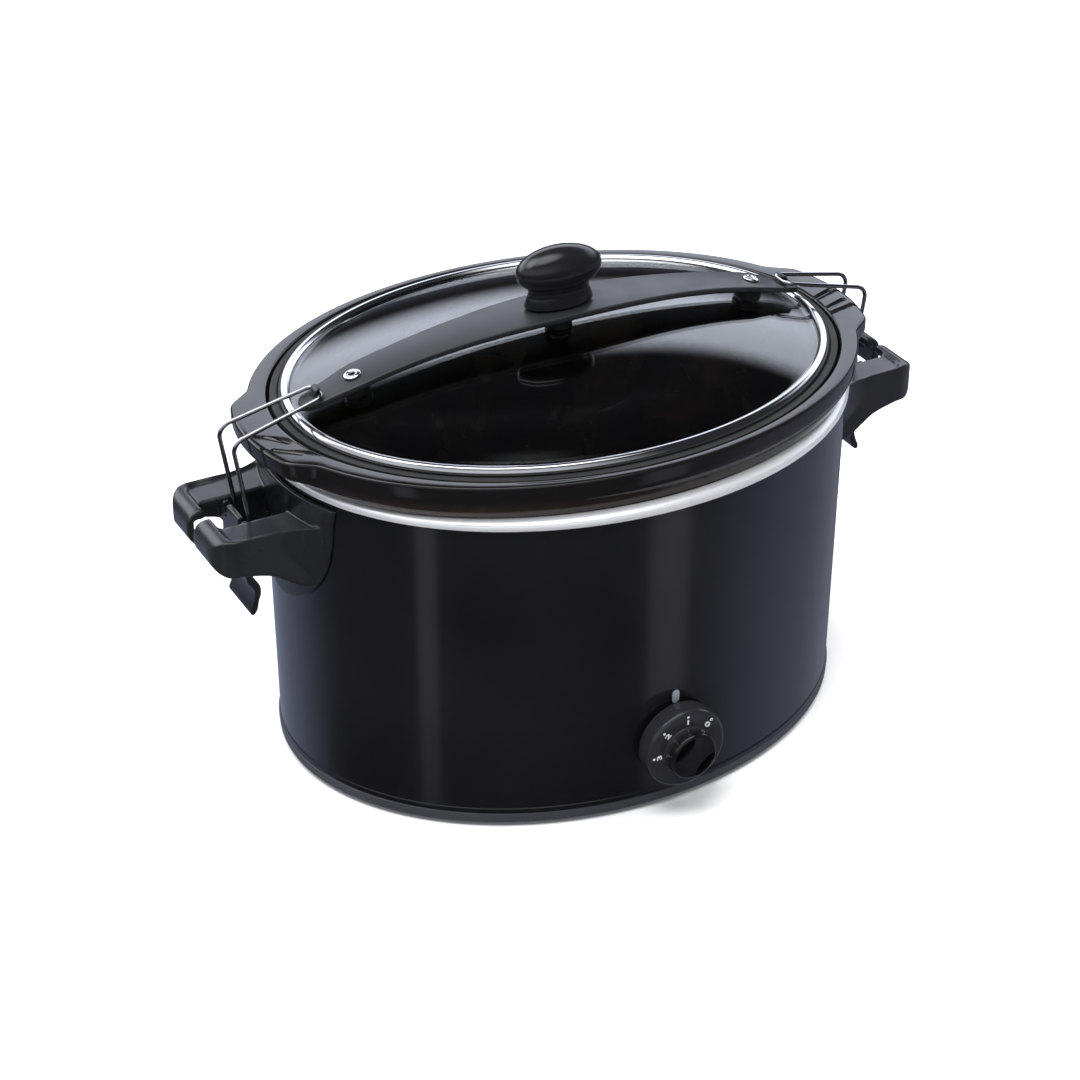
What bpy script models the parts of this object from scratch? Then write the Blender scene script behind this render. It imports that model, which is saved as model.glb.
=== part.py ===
"""Oval slow cooker with a glass lid held down by two over-handle latches.

+Z is up, X is the long axis and the dial faces -Y. Lengths are in millimetres, and MM turns them into
Blender's metres. Pieces are drawn about the axis of the oval, and the root carrier then moves them all
by CENTRING, which puts the origin under the middle of the whole object, on the standing surface. Pieces
on the two ends are written for the +X end, and side = -1 makes the one at the -X end.
"""

import math

import bmesh
import bpy
from mathutils import Matrix, Vector

MM = 0.001
GAP = 0.35  # clearance between pieces that touch
CENTRING = 9.6  # half of how much further the dial reaches forwards than the lip reaches back
OVAL_STEPS = 48  # facets round every oval, so that neighbours keep their gap

# Steel housing: half length and half width of its oval, low and high.
HOUSING_LOW = (173.4, 137.0, 9.85)
HOUSING_HIGH = (174.6, 139.9, 195.8)
WALL = 1.2

# Stoneware crock and the recess in its rim that takes the lid.
CROCK_TOP = 221.5
CROCK_RIM = (183.2, 137.1)
RECESS = (171.2, 131.6)
MOUTH = (159.5, 121.0)
TAB_REACH = 9.5
TAB_HALF = 46.0
TAB_FADE = 9.0

# Lid: steel ring, glass dome and strap.
RING = (164.7, 126.0)
GLASS_EDGE_Z = 223.8
GLASS_RISE = 19.2
GLASS_THICK = 3.0
STRAP_MIDDLE = 257.0
STRAP_THICK = 3.6
RIVET_X = 128.1
RIVET_TILT = math.radians(13)

# Latches: the bail's crossbar hangs in the strap's hook, its feet stand in the lever's slots.
CROSSBAR = (149.0, 238.0)
BAIL_SHOULDER = (203.3, 226.0)
BAIL_FOOT = (197.0, 176.4)
BAIL_HALF = 10.25
CROSSBAR_HALF = 7.8
WIRE = 1.3
LEVER_PIN = (190.5, 152.5)
LEVER_HALF = 14.3
TAIL_HALF = 16.0

# Handles.
HANDLE_TOP = 180.5
HANDLE_END = 228.0
HANDLE_HALF = 37.5
OPENING = (177.0, 217.5, 15.0)
HOLLOW = (198.0, 223.5, 34.0, 174.5)
NOTCH_HALF = 3.8
SHIELD_LOW = 119.2
SHIELD_MIDDLE = 178.0
SHIELD_HALF = 48.5

# Dial on the front.
DIAL_Z = 45.0
DIAL_BACK = 139.9
DIAL_RADIUS = 24.9

FEET_ANGLE = math.radians(50)
GLAND_Z = 30.0
SCREW_Y, SCREW_Z = 30.0, 168.0


# ---------------------------------------------------------------- scene and materials

def clear_scene():
    for obj in list(bpy.data.objects):
        bpy.data.objects.remove(obj, do_unlink=True)


def new_collection(name):
    collection = bpy.data.collections.new(name)
    bpy.context.scene.collection.children.link(collection)
    return collection


def material(name, colour, roughness, metallic=0.0, alpha=1.0):
    mat = bpy.data.materials.new(name)
    mat.use_nodes = True
    shader = mat.node_tree.nodes["Principled BSDF"]
    shader.inputs["Base Color"].default_value = (*colour, 1.0)
    shader.inputs["Roughness"].default_value = roughness
    shader.inputs["Metallic"].default_value = metallic
    shader.inputs["Alpha"].default_value = alpha
    return mat


# ---------------------------------------------------------------- shape helpers

def add_mesh(name, mesh, mat):
    """An object in the parts collection, with outward normals and smooth shading over its round faces."""
    tidy = bmesh.new()
    tidy.from_mesh(mesh)
    bmesh.ops.recalc_face_normals(tidy, faces=tidy.faces)
    tidy.to_mesh(mesh)
    tidy.free()
    mesh.shade_smooth()
    mesh.set_sharp_from_angle(angle=math.radians(35))
    mesh.materials.append(mat)
    obj = bpy.data.objects.new(name, mesh)
    PARTS.objects.link(obj)
    return obj


def loft(name, rings, mat, closed=False):
    """Skin over rings of equal length: closed joins the last ring to the first, else both ends are capped."""
    count = len(rings[0])
    points = [tuple(c * MM for c in point) for ring in rings for point in ring]
    faces = []
    for i in range(len(rings) if closed else len(rings) - 1):
        here, there = i * count, (i + 1) % len(rings) * count
        for k in range(count):
            m = (k + 1) % count
            faces.append((here + k, here + m, there + m, there + k))
    if not closed:
        faces.append(tuple(range(count)))
        faces.append(tuple(range(len(points) - count, len(points))))
    mesh = bpy.data.meshes.new(name)
    mesh.from_pydata(points, [], faces)
    return add_mesh(name, mesh, mat)


def oval_angles(extra=()):
    """Evenly spread angles, and extra ones mirrored into all four quarters."""
    spread = {round(2 * math.pi * k / OVAL_STEPS, 6) for k in range(OVAL_STEPS)}
    for angle in extra:
        spread |= {round(turn + way * angle, 6) for turn, way in ((0, 1), (math.pi, -1), (math.pi, 1))}
        spread.add(round(2 * math.pi - angle, 6))
    return sorted(spread)


def oval(a, b, z, angles, tab=0.0):
    """One ring of an oval. tab pushes its two ends out into lifting tabs."""
    ring = []
    for angle in angles:
        x, y = a * math.cos(angle), b * math.sin(angle)
        if tab:
            x += math.copysign(tab * tab_reach(y), x)
        ring.append((x, y, z))
    return ring


def tab_reach(y):
    """How far a lifting tab stands out beyond the oval at this y."""
    fade = max(0.0, min(1.0, (TAB_HALF + TAB_FADE / 2 - abs(y)) / TAB_FADE))
    return TAB_REACH * fade * fade * (3 - 2 * fade)


def oval_loft(name, rings, mat, closed=False, extra=()):
    """rings are (half length, half width, z), or those and a tab weight."""
    angles = oval_angles(extra)
    return loft(name, [oval(r[0], r[1], r[2], angles, *r[3:]) for r in rings], mat, closed)


def turned(name, profile, mat, steps=24, at=(0, 0, 0), turn=(0, 0, 0), closed=False):
    """A turned solid. profile is (radius, height), down the outer side, and closed for a tube."""
    mesh = bpy.data.meshes.new(name)
    edges = [(i, i + 1) for i in range(len(profile) - 1)]
    if closed:
        edges.append((len(profile) - 1, 0))
    mesh.from_pydata([(r * MM, 0.0, z * MM) for r, z in profile], edges, [])
    mesh.materials.append(mat)
    obj = bpy.data.objects.new(name, mesh)
    PARTS.objects.link(obj)
    obj.location = Vector(at) * MM
    obj.rotation_euler = turn
    screw = obj.modifiers.new("turn", "SCREW")
    screw.axis = "Z"
    screw.steps = screw.render_steps = steps
    screw.use_merge_vertices = True
    screw.merge_threshold = 0.00001
    screw.use_smooth_shade = True
    return obj


def rod(name, radius, low, high, mat, steps=20, at=(0, 0, 0), turn=(0, 0, 0)):
    """A plain round bar from low to high along its own Z."""
    profile = [(0, high), (radius, high), (radius, low), (0, low)]
    return turned(name, profile, mat, steps, at, turn)


def block(name, low, high, mat, bevel=0.0):
    """A box between two corners."""
    shape = bmesh.new()
    bmesh.ops.create_cube(shape, size=1.0)
    size = [(h - l) * MM for l, h in zip(low, high)]
    middle = [(h + l) / 2 * MM for l, h in zip(low, high)]
    shape.transform(Matrix.Translation(middle) @ Matrix.Diagonal((*size, 1.0)))
    mesh = bpy.data.meshes.new(name)
    shape.to_mesh(mesh)
    shape.free()
    obj = add_mesh(name, mesh, mat)
    if bevel:
        edge = obj.modifiers.new("edge", "BEVEL")
        edge.width = bevel * MM
        edge.segments = 2
    return obj


PLANES = {
    "XY": Matrix.Identity(3),
    "XZ": Matrix(((1, 0, 0), (0, 0, -1), (0, 1, 0))),
    "YZ": Matrix(((0, 0, 1), (1, 0, 0), (0, 1, 0))),
}


def extruded(name, outline, low, high, mat, plane="XZ"):
    """A flat outline drawn in a plane and extruded from low to high across it."""
    curve = bpy.data.curves.new(name, "CURVE")
    curve.dimensions = "2D"
    curve.fill_mode = "BOTH"
    curve.extrude = (high - low) / 2 * MM
    spline = curve.splines.new("POLY")
    spline.points.add(len(outline) - 1)
    for point, (u, v) in zip(spline.points, outline):
        point.co = (u * MM, v * MM, 0, 1)
    spline.use_cyclic_u = True
    holder = bpy.data.objects.new(name + "_outline", curve)
    PARTS.objects.link(holder)
    bpy.context.view_layer.update()
    graph = bpy.context.evaluated_depsgraph_get()
    mesh = bpy.data.meshes.new_from_object(holder.evaluated_get(graph))
    bpy.data.objects.remove(holder, do_unlink=True)
    middle = (low + high) / 2 * MM
    shift = {"XY": (0, 0, middle), "XZ": (0, middle, 0), "YZ": (middle, 0, 0)}[plane]
    mesh.transform(Matrix.Translation(shift) @ PLANES[plane].to_4x4())
    weld = bmesh.new()
    weld.from_mesh(mesh)
    bmesh.ops.remove_doubles(weld, verts=weld.verts, dist=0.000001)
    weld.to_mesh(mesh)
    weld.free()
    mesh.materials.clear()
    return add_mesh(name, mesh, mat)


def arc(cx, cy, radius, start, end, count=5):
    """Points on an arc, angles in degrees."""
    angles = [math.radians(start + (end - start) * k / (count - 1)) for k in range(count)]
    return [(cx + radius * math.cos(t), cy + radius * math.sin(t)) for t in angles]


def mirrored(outline, side):
    return [(side * u, v) for u, v in outline]


def combine(obj, other, operation):
    """A Boolean on obj. The other object becomes a helper that isn't rendered."""
    step = obj.modifiers.new(operation.lower(), "BOOLEAN")
    step.operation = operation
    step.solver = "EXACT"
    step.object = other
    for collection in list(other.users_collection):
        collection.objects.unlink(other)
    CUTTERS.objects.link(other)
    other.hide_render = True
    other.display_type = "WIRE"
    return obj


def cut(obj, other):
    return combine(obj, other, "DIFFERENCE")


def join(obj, other):
    return combine(obj, other, "UNION")


def wall_oval(z, offset=0.0):
    """Half axes of the housing's outer face at height z, grown by offset."""
    t = (z - HOUSING_LOW[2]) / (HOUSING_HIGH[2] - HOUSING_LOW[2])
    return [low + (high - low) * t + offset for low, high in zip(HOUSING_LOW[:2], HOUSING_HIGH[:2])]


def wall_x(y, z, offset=0.0):
    """x of the housing's outer face at a point of its +X half."""
    a, b = wall_oval(z, offset)
    return a * math.sqrt(1 - (y / b) ** 2)


FACING_FRONT = (math.radians(90), 0, 0)  # local Z points along -Y
FACING_REAR = (math.radians(-90), 0, 0)  # local Z points along +Y


def facing_end(side):
    """Rotation that points local Z along side * X."""
    return (0, side * math.radians(90), 0)


# ---------------------------------------------------------------- base

def outer_housing():
    (a0, b0, z0), (a1, b1, z1) = HOUSING_LOW, HOUSING_HIGH
    hem, hem_top = 0.5, z0 + 2.5
    rings = [
        (a0 + hem, b0 + hem, z0),
        (a0 + hem, b0 + hem, hem_top),
        (a0, b0, hem_top + 0.6),
        (a1, b1, z1),
        (a1 - WALL, b1 - WALL, z1),
        (a0 - WALL, b0 - WALL, z0),
    ]
    shell = oval_loft("outer_housing", rings, BLACK_PAINT, closed=True)
    cut(shell, rod("dial_hole", 5.2, 130, 145, BLACK_PAINT, at=(0, 0, DIAL_Z), turn=FACING_FRONT))
    cut(shell, rod("gland_hole", 6.2, 130, 145, BLACK_PAINT, at=(0, 0, GLAND_Z), turn=FACING_REAR))
    for index, (side, y) in enumerate(screw_places(), 1):
        hole = rod(f"screw_hole_{index}", 2.4, 158, 180, BLACK_PAINT, 12, (0, y, SCREW_Z), facing_end(side))
        cut(shell, hole)
    return shell


def screw_places():
    return [(side, y) for side in (-1, 1) for y in (-SCREW_Y, SCREW_Y)]


def base_ring():
    rings = [
        (172.6, 135.3, 2.0),
        (174.2, 136.9, 3.5),
        (174.6, 137.3, 9.4),
        (171.7, 134.4, 9.4),
        (171.5, 134.2, 15.0),
        (167.8, 131.5, 15.0),
        (167.8, 131.5, 4.4),
        (150.0, 114.0, 4.4),
        (150.0, 114.0, 2.0),
    ]
    ring = oval_loft("base_ring", rings, GREY_PLASTIC, closed=True)
    for index, (x, y) in enumerate(foot_places(), 1):
        cut(ring, rod(f"foot_hole_{index}", 2.6, 0.5, 6.0, GREY_PLASTIC, 12, (x, y, 0)))
    return ring


def foot_places():
    x, y = 160 * math.cos(FEET_ANGLE), 124 * math.sin(FEET_ANGLE)
    return [(-x, -y), (x, -y), (-x, y), (x, y)]


def feet():
    profile = [(0, 4.3), (2.3, 4.3), (2.3, 1.65), (7.0, 1.65), (7.0, 0.5), (6.5, 0), (0, 0)]
    return [
        turned(f"foot_{index}", profile, RUBBER, 12, (x, y, 0))
        for index, (x, y) in enumerate(foot_places(), 1)
    ]


PAN_LOW, PAN_HIGH = 4.8, 5.8


def base_pan():
    pan = oval_loft("base_pan", [(167.3, 131.0, PAN_LOW), (167.3, 131.0, PAN_HIGH)], STEEL)
    cut(pan, rod("pan_screw_hole", 2.4, 3, 8, STEEL, 12))
    for index, x in enumerate((-84, -56, -28, 28, 56, 84), 1):
        outline = arc(x, 24, 2.5, 0, 180) + arc(x, -24, 2.5, 180, 360)
        cut(pan, extruded(f"vent_{index}", outline, 3, 8, STEEL, "XY"))
    return pan


def heating_liner():
    inner = [
        (141.0, 104.5, 33.0),
        (150.0, 113.5, 38.0),
        (156.0, 119.5, 52.0),
        (159.0, 122.5, 70.0),
        (164.5, 130.4, 150.0),
        (166.6, 132.5, 199.0),
        (167.4, 133.3, 201.0),
        (168.6, 134.5, 201.4),
        (169.6, 135.5, 201.0),
        (176.0, 141.9, 197.0),
        (176.0, 141.9, 196.2),
    ]
    outer = [
        (174.9, 140.8, 196.2),
        (169.0, 134.9, 199.7),
        (167.8, 133.7, 198.6),
        (165.7, 131.6, 150.0),
        (160.2, 123.7, 69.7),
        (157.2, 120.7, 51.6),
        (151.0, 114.3, 36.8),
        (141.4, 104.7, 31.8),
    ]
    return oval_loft("heating_liner", inner + outer, ALUMINIUM)


def heater_band():
    rings = [(161.4, 125.2, 80), (164.1, 129.1, 120), (166.1, 131.1, 120), (163.4, 127.2, 80)]
    return oval_loft("heater_band", rings, HEATER, closed=True)


def thermal_fuse():
    return rod("thermal_fuse", 2.2, -11, 11, STEEL, 12, (0, 132.7, 100), facing_end(1))


def centre_post():
    post = rod("centre_post", 4.5, PAN_HIGH + GAP, 31.4, STEEL, 16)
    return cut(post, rod("post_bore", 2.3, 0, 24, STEEL, 12))


def base_screw():
    profile = [(0, 21), (2.0, 21), (2.0, 4.4), (4.5, 4.4), (4.2, 2.6), (0, 2.4)]
    return turned("base_screw", profile, STEEL, 12)


def rotary_switch():
    front = 134.6
    body = block("rotary_switch", (-13, -front, 32), (13, -122.3, 54), DARK_PLASTIC, 0.8)
    join(body, rod("switch_bushing", 4.7, 130, 141, STEEL, 20, (0, 0, DIAL_Z), FACING_FRONT))
    return cut(body, rod("switch_bore", 3.2, 125, 145, STEEL, 20, (0, 0, DIAL_Z), FACING_FRONT))


def switch_nut():
    profile = [(8.0, 139.6), (8.0, 138.0), (5.8, 138.0), (5.8, 139.6)]
    return turned("switch_nut", profile, STEEL, 6, (0, 0, DIAL_Z), FACING_FRONT, closed=True)


def cord_gland():
    profile = [(7.6, 140.7), (9.0, 139.5), (9.0, 137.9), (5.9, 137.9), (5.9, 135.3), (7.6, 134.9)]
    profile += [(7.0, 131.2), (3.5, 131.2), (3.5, 140.7)]
    return turned("cord_gland", profile, DARK_PLASTIC, 16, (0, 0, GLAND_Z), FACING_REAR, closed=True)


def terminal_block():
    return block("terminal_block", (-16, 96, PAN_HIGH + GAP), (16, 108, 17), CREAM_PLASTIC, 0.8)


def base_pieces():
    pieces = [outer_housing(), base_ring(), base_pan(), heating_liner(), heater_band(), thermal_fuse()]
    pieces += [centre_post(), base_screw(), rotary_switch(), switch_nut(), cord_gland(), terminal_block()]
    return pieces + feet()


# ---------------------------------------------------------------- handles and latch levers

def shield_half(z):
    """Half width of the handle's root where it meets the housing."""
    if z >= SHIELD_MIDDLE:
        return SHIELD_HALF + 0.0137 * (z - SHIELD_MIDDLE) ** 2
    depth = (SHIELD_MIDDLE - z) / (SHIELD_MIDDLE - SHIELD_LOW)
    return SHIELD_HALF * math.sqrt(max(0.0, 1 - depth ** 2))


def shield_outline(low, high, steps):
    heights = [low + (high - low) * k / steps for k in range(steps + 1)]
    right = [(shield_half(z), z) for z in heights if shield_half(z) > 0.5]
    return [(0.0, low)] + right + [(-y, z) for y, z in reversed(right)]


def handle_flange(name, side):
    """The thin plate that hugs the housing behind the handle."""
    heights = (SHIELD_LOW - 2, HOUSING_HIGH[2] - 2)
    skins = [(*wall_oval(z, 3.2), z) for z in heights]
    backs = [(*wall_oval(z, GAP), z) for z in reversed(heights)]
    flange = oval_loft(name, skins + backs, DARK_PLASTIC, closed=True)
    outline = shield_outline(SHIELD_LOW, HOUSING_HIGH[2] - 3, 14)
    keep = extruded(name + "_area", outline, 120, 190, DARK_PLASTIC, "YZ")
    if side < 0:
        keep.data.transform(Matrix.Diagonal((-1, 1, 1, 1)))
        keep.data.flip_normals()
    return combine(flange, keep, "INTERSECT")


def handle_fairing(name, side):
    """The solid root that runs from the housing out to the arms."""
    shape = bmesh.new()
    for y, z in shield_outline(SHIELD_LOW, HANDLE_TOP, 8):
        shape.verts.new(Vector((side * (wall_x(y, z) - 1), y, z)) * MM)
    for y in (-HANDLE_HALF, HANDLE_HALF):
        for z in (150.0, HANDLE_TOP - 0.4):
            shape.verts.new(Vector((side * 190.0, y, z)) * MM)
    hull = bmesh.ops.convex_hull(shape, input=shape.verts)
    loose = [v for v in hull["geom_interior"] if isinstance(v, bmesh.types.BMVert)]
    bmesh.ops.delete(shape, geom=loose, context="VERTS")
    mesh = bpy.data.meshes.new(name)
    shape.to_mesh(mesh)
    shape.free()
    return add_mesh(name, mesh, DARK_PLASTIC)


def handle_profile():
    """Side view of the arms and the outer bar."""
    outline = [(165.0, 140.0), (178.0, 141.5), (188.0, 148.0), (197.0, 153.8), (212.0, 157.8)]
    outline += arc(217.3, 168.3, 10.7, -75, -10, 4)
    return outline + arc(218.5, HANDLE_TOP - 9.5, 9.5, 0, 90, 5) + [(165.0, HANDLE_TOP)]


def rounded_plan(low, high, half, radius):
    """Plan view of a rectangle whose outer corners are rounded."""
    inner = high - radius
    outline = [(low, -half)] + arc(inner, -half + radius, radius, -90, 0)
    return outline + arc(inner, half - radius, radius, 0, 90) + [(low, half)]


def handle(side, label):
    """One handle: arms and outer bar hollow from below, a window for the lever, and a root on the wall."""
    name = f"{label}_handle"
    body = extruded(name, mirrored(handle_profile(), side), -HANDLE_HALF, HANDLE_HALF, DARK_PLASTIC)
    plan = mirrored(rounded_plan(160, HANDLE_END, HANDLE_HALF, 15), side)
    combine(body, extruded(name + "_plan", plan, 100, 200, DARK_PLASTIC, "XY"), "INTERSECT")
    join(body, handle_fairing(name + "_fairing", side))
    low, high, half = OPENING
    window = mirrored(rounded_plan(low, high, half, 4), side)
    cut(body, extruded(name + "_window", window, 100, 200, DARK_PLASTIC, "XY"))
    inner, outer, half, ceiling = HOLLOW
    hollow = mirrored(rounded_plan(inner, outer, half, 11.5), side)
    cut(body, extruded(name + "_hollow", hollow, 100, ceiling, DARK_PLASTIC, "XY"))
    gap = [(high - 6, -NOTCH_HALF), (240, -NOTCH_HALF), (240, NOTCH_HALF), (high - 6, NOTCH_HALF)]
    cut(body, extruded(name + "_notch", mirrored(gap, side), 100, 200, DARK_PLASTIC, "XY"))
    pin_at = (side * LEVER_PIN[0], 0, LEVER_PIN[1])
    cut(body, rod(name + "_pin_hole", 1.85, -20, 20, STEEL, 16, pin_at, FACING_FRONT))
    clear = [(*wall_oval(z, GAP), z) for z in (100.0, HOUSING_HIGH[2])]
    cut(body, oval_loft(name + "_wall_cut", clear, DARK_PLASTIC))
    join(body, handle_flange(name + "_flange", side))
    for index, y in enumerate((-SCREW_Y, SCREW_Y), 1):
        hole = rod(f"{name}_hole_{index}", 2.3, 150, 187, STEEL, 12, (0, y, SCREW_Z), facing_end(side))
        cut(body, hole)
    return body


def handle_screw(index, side, y):
    profile = [(0, 184), (2.0, 184), (2.0, 166.8), (3.5, 166.8), (3.5, 164.9), (0, 164.9)]
    return turned(f"handle_screw_{index}", profile, STEEL, 10, (0, y, SCREW_Z), facing_end(side))


def latch_pin(side, label):
    at = (side * LEVER_PIN[0], 0, LEVER_PIN[1])
    return rod(f"latch_pin_{label}", 1.5, -19.6, 19.6, STEEL, 16, at, FACING_FRONT)


def lever_plate_outline():
    """Side view of the lever's face plate down to where the tail widens."""
    return [(199.8, 142.5), (203.2, 142.5), (203.7, 160.0), (203.0, 176.4), (202.2, 177.0), (199.8, 177.0)]


def lever_tail_outline():
    """Side view of the finger tail, an S curve that flares out to its tip."""
    outer = [(203.2, 143.0), (202.6, 139.5), (199.4, 134.8), (198.7, 131.5), (199.6, 126.5), (202.0, 120.6)]
    tip = [(201.6, 118.4), (199.4, 117.9)]
    inner = [(197.6, 121.0), (196.4, 126.5), (195.0, 131.0), (195.4, 136.0), (198.4, 141.0), (199.4, 143.0)]
    return outer + tip + inner


def latch_lever(side, label):
    name = f"latch_lever_{label}"
    x, z = LEVER_PIN
    lever = extruded(name, mirrored(lever_plate_outline(), side), -LEVER_HALF, LEVER_HALF, DARK_PLASTIC)
    tail = mirrored(lever_tail_outline(), side)
    join(lever, extruded(name + "_tail", tail, -TAIL_HALF, TAIL_HALF, DARK_PLASTIC))
    cheek = arc(x, z, 4.6, 100, 280, 7) + [(200.6, 144.0), (200.6, 164.0)]
    cheek = mirrored(cheek, side)
    for index, (low, high) in enumerate(((-LEVER_HALF, -12.4), (12.4, LEVER_HALF)), 1):
        join(lever, extruded(f"{name}_cheek_{index}", cheek, low, high, DARK_PLASTIC))
    for index, y in enumerate((-BAIL_HALF, BAIL_HALF), 1):
        low = (min(side * 198, side * 206), y - 1.95, 170)
        high = (max(side * 198, side * 206), y + 1.95, 180)
        cut(lever, block(f"{name}_slot_{index}", low, high, DARK_PLASTIC))
    bore = rod(name + "_bore", 1.85, -20, 20, STEEL, 16, (side * x, 0, z), FACING_FRONT)
    return cut(lever, bore)


# ---------------------------------------------------------------- crock

def crock():
    (rim_a, rim_b), (rec_a, rec_b), (mouth_a, mouth_b) = CROCK_RIM, RECESS, MOUTH
    rings = [
        (128.0, 90.0, 39.0),
        (140.0, 102.0, 41.0),
        (147.0, 109.0, 50.0),
        (151.0, 113.5, 72.0),
        (156.0, 119.0, 150.0),
        (mouth_a - 1.5, mouth_b - 1.0, 205.0),
        (mouth_a, mouth_b, 215.0),
        (mouth_a + 1.5, mouth_b + 1.5, 216.5),
        (rec_a - 0.8, rec_b - 0.8, 216.5),
        (rec_a, rec_b, CROCK_TOP - 0.5),
        (rec_a + 0.6, rec_b + 0.6, CROCK_TOP),
        (rim_a - 1.6, rim_b - 1.6, CROCK_TOP, 1.0),
        (rim_a, rim_b, CROCK_TOP - 1.8, 1.0),
        (rim_a, rim_b, 213.5, 1.0),
        (rim_a - 1.2, rim_b - 1.2, 211.5, 0.6),
        (rim_a - 1.6, rim_b - 1.6, 209.5),
        (181.0, 135.2, 204.0),
        (179.6, 134.8, 201.8),
        (163.8, 127.5, 201.8),
        (161.5, 124.6, 150.0),
        (156.8, 119.4, 72.0),
        (152.5, 115.0, 48.0),
        (144.0, 106.0, 36.0),
        (128.0, 90.0, 33.4),
    ]
    corners = [math.asin((TAB_HALF + y) / CROCK_RIM[1]) for y in (-TAB_FADE / 2, 0, TAB_FADE / 2)]
    pot = oval_loft("crock", rings, STONEWARE, extra=corners)
    for index, (x, y, angle) in enumerate(groove_places(), 1):
        groove = block(f"groove_{index}", (-9, -1.1, CROCK_TOP - 1.1), (9, 1.1, CROCK_TOP + 4), STONEWARE)
        turn = Matrix.Rotation(math.radians(angle), 4, "Z")
        groove.data.transform(Matrix.Translation(Vector((x, y, 0)) * MM) @ turn)
        cut(pot, groove)
    return pot


def groove_places():
    """Two shallow grooves on each tab: middle x, middle y and direction in degrees."""
    return [(179.5, 0, 21), (179.5, -14.5, 19), (-179.5, -12, 127), (-179.5, -27, 137)]


# ---------------------------------------------------------------- lid

def lid_ring():
    a, b = RING
    section = [
        (-0.9, 219.6),
        (0.0, 222.4),
        (-1.8, 225.4),
        (-4.6, 225.7),
        (-6.8, 224.2),
        (-1.3, 224.2),
        (-1.3, 220.5),
        (-6.6, 220.5),
        (-6.6, 219.6),
    ]
    return oval_loft("lid_ring", [(a + d, b + d, z) for d, z in section], POLISHED_STEEL, closed=True)


def lid_gasket():
    a, b = RING
    section = [(-7.5, 216.9), (4.3, 216.9), (4.6, 221.2), (0.5, 221.2), (0.4, 219.2), (-7.5, 219.2)]
    return oval_loft("lid_gasket", [(a + d, b + d, z) for d, z in section], RUBBER, closed=True)


def glass_top(rho):
    """Height of the glass's upper face at a fraction of the way out to its edge."""
    return GLASS_EDGE_Z + GLASS_RISE * (1 - rho ** 2.4)


def lid_glass():
    a, b = RING[0] - 7.0, RING[1] - 7.0
    steps = (0.96, 0.86, 0.7, 0.5, 0.25)
    hole = 4.5
    top = [(a * r, b * r, glass_top(r)) for r in steps] + [(hole, hole, glass_top(0))]
    under = [(x, y, z - GLASS_THICK) for x, y, z in reversed(top)]
    edge = [(a + grow, b + grow, z) for grow, z in ((0.2, 220.9), (5.2, 220.9), (5.2, 223.8), (0.2, 223.9))]
    pane = oval_loft("lid_glass", top + under + edge, GLASS, closed=True)
    for label, side in (("left", -1), ("right", 1)):
        hole_at = (side * RIVET_X, 0, rivet_z())
        cut(pane, rod(f"glass_hole_{label}", 4.5, -20, 5, GLASS, 16, hole_at, (0, side * RIVET_TILT, 0)))
    return pane


def strap_top(x):
    """Height of the strap's upper face, a shallow bow that bends down to its hooks."""
    x = abs(x)
    out = x / RIVET_X
    bow = STRAP_MIDDLE - 13.0 * out ** 2 - 1.5 * out ** 4
    bend = 0.04 * max(0.0, x - RIVET_X)
    return bow - bend if x < CROSSBAR[0] else strap_top(CROSSBAR[0] - 0.001) - 0.26 * (x - CROSSBAR[0])


def strap_half(x):
    """Half width of the strap, a leaf with rounded ends."""
    x = abs(x)
    leaf = 12.0 + 6.0 * math.exp(-((x / 75) ** 2)) if x < RIVET_X else 12.3 - 5.0 * (x - RIVET_X) / 27
    return leaf if x < 155 else leaf * math.sqrt(max(0.04, 1 - ((x - 155) / 5.0) ** 2))


def rivet_z():
    return strap_top(RIVET_X)


def strap_section(x):
    """Eight points round the strap at x, with eased edges."""
    half, top, ease = strap_half(x), strap_top(x), 0.8
    low = top - STRAP_THICK
    ease = min(ease, half * 0.5)
    corners = [(half - ease, top), (half, top - ease), (half, low + ease), (half - ease, low)]
    return [(x, y, z) for y, z in corners] + [(x, -y, z) for y, z in reversed(corners)]


def strap_hook(side):
    """Tongue that rises outboard of the bail's crossbar and curls back over it."""
    x, z = CROSSBAR
    inner = arc(x, z, WIRE + 0.45, -8, 118, 6)
    outer = arc(x, z, WIRE + 2.3, 112, -20, 6)
    return mirrored(inner + outer + [(x + 4.2, z - 5.0), (x + 1.9, z - 5.0)], side)


def lid_strap():
    stations = [0, 14, 28, 45, 62, 80, 98, 114, 124, 132, 141, 147, 151, 155, 157.5, 159.2, 159.9]
    xs = [-x for x in reversed(stations[1:])] + stations
    strap = loft("lid_strap", [strap_section(x) for x in xs], SATIN_BLACK)
    for label, side in (("left", -1), ("right", 1)):
        join(strap, extruded(f"hook_{label}", strap_hook(side), -3.6, 3.6, SATIN_BLACK))
        hole_at = (side * RIVET_X, 0, rivet_z())
        cut(strap, rod(f"strap_hole_{label}", 3.15, -8, 6, STEEL, 16, hole_at, (0, side * RIVET_TILT, 0)))
    return cut(strap, rod("strap_screw_hole", 2.8, 240, 262, STEEL, 16))


def strap_rivet(side, label):
    """Hollow rivet with a rolled head on the strap and a flange under the grommet."""
    profile = [(3.6, 1.7), (4.9, 1.2), (5.1, 0.4), (2.8, 0.35), (2.8, -18.8), (5.2, -18.8), (5.2, -19.6)]
    profile += [(1.8, -19.6), (1.8, 1.0), (2.5, 1.7)]
    at = (side * RIVET_X, 0, rivet_z())
    tilt = (0, side * RIVET_TILT, 0)
    return turned(f"strap_rivet_{label}", profile, POLISHED_STEEL, 16, at, tilt, closed=True)


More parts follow.
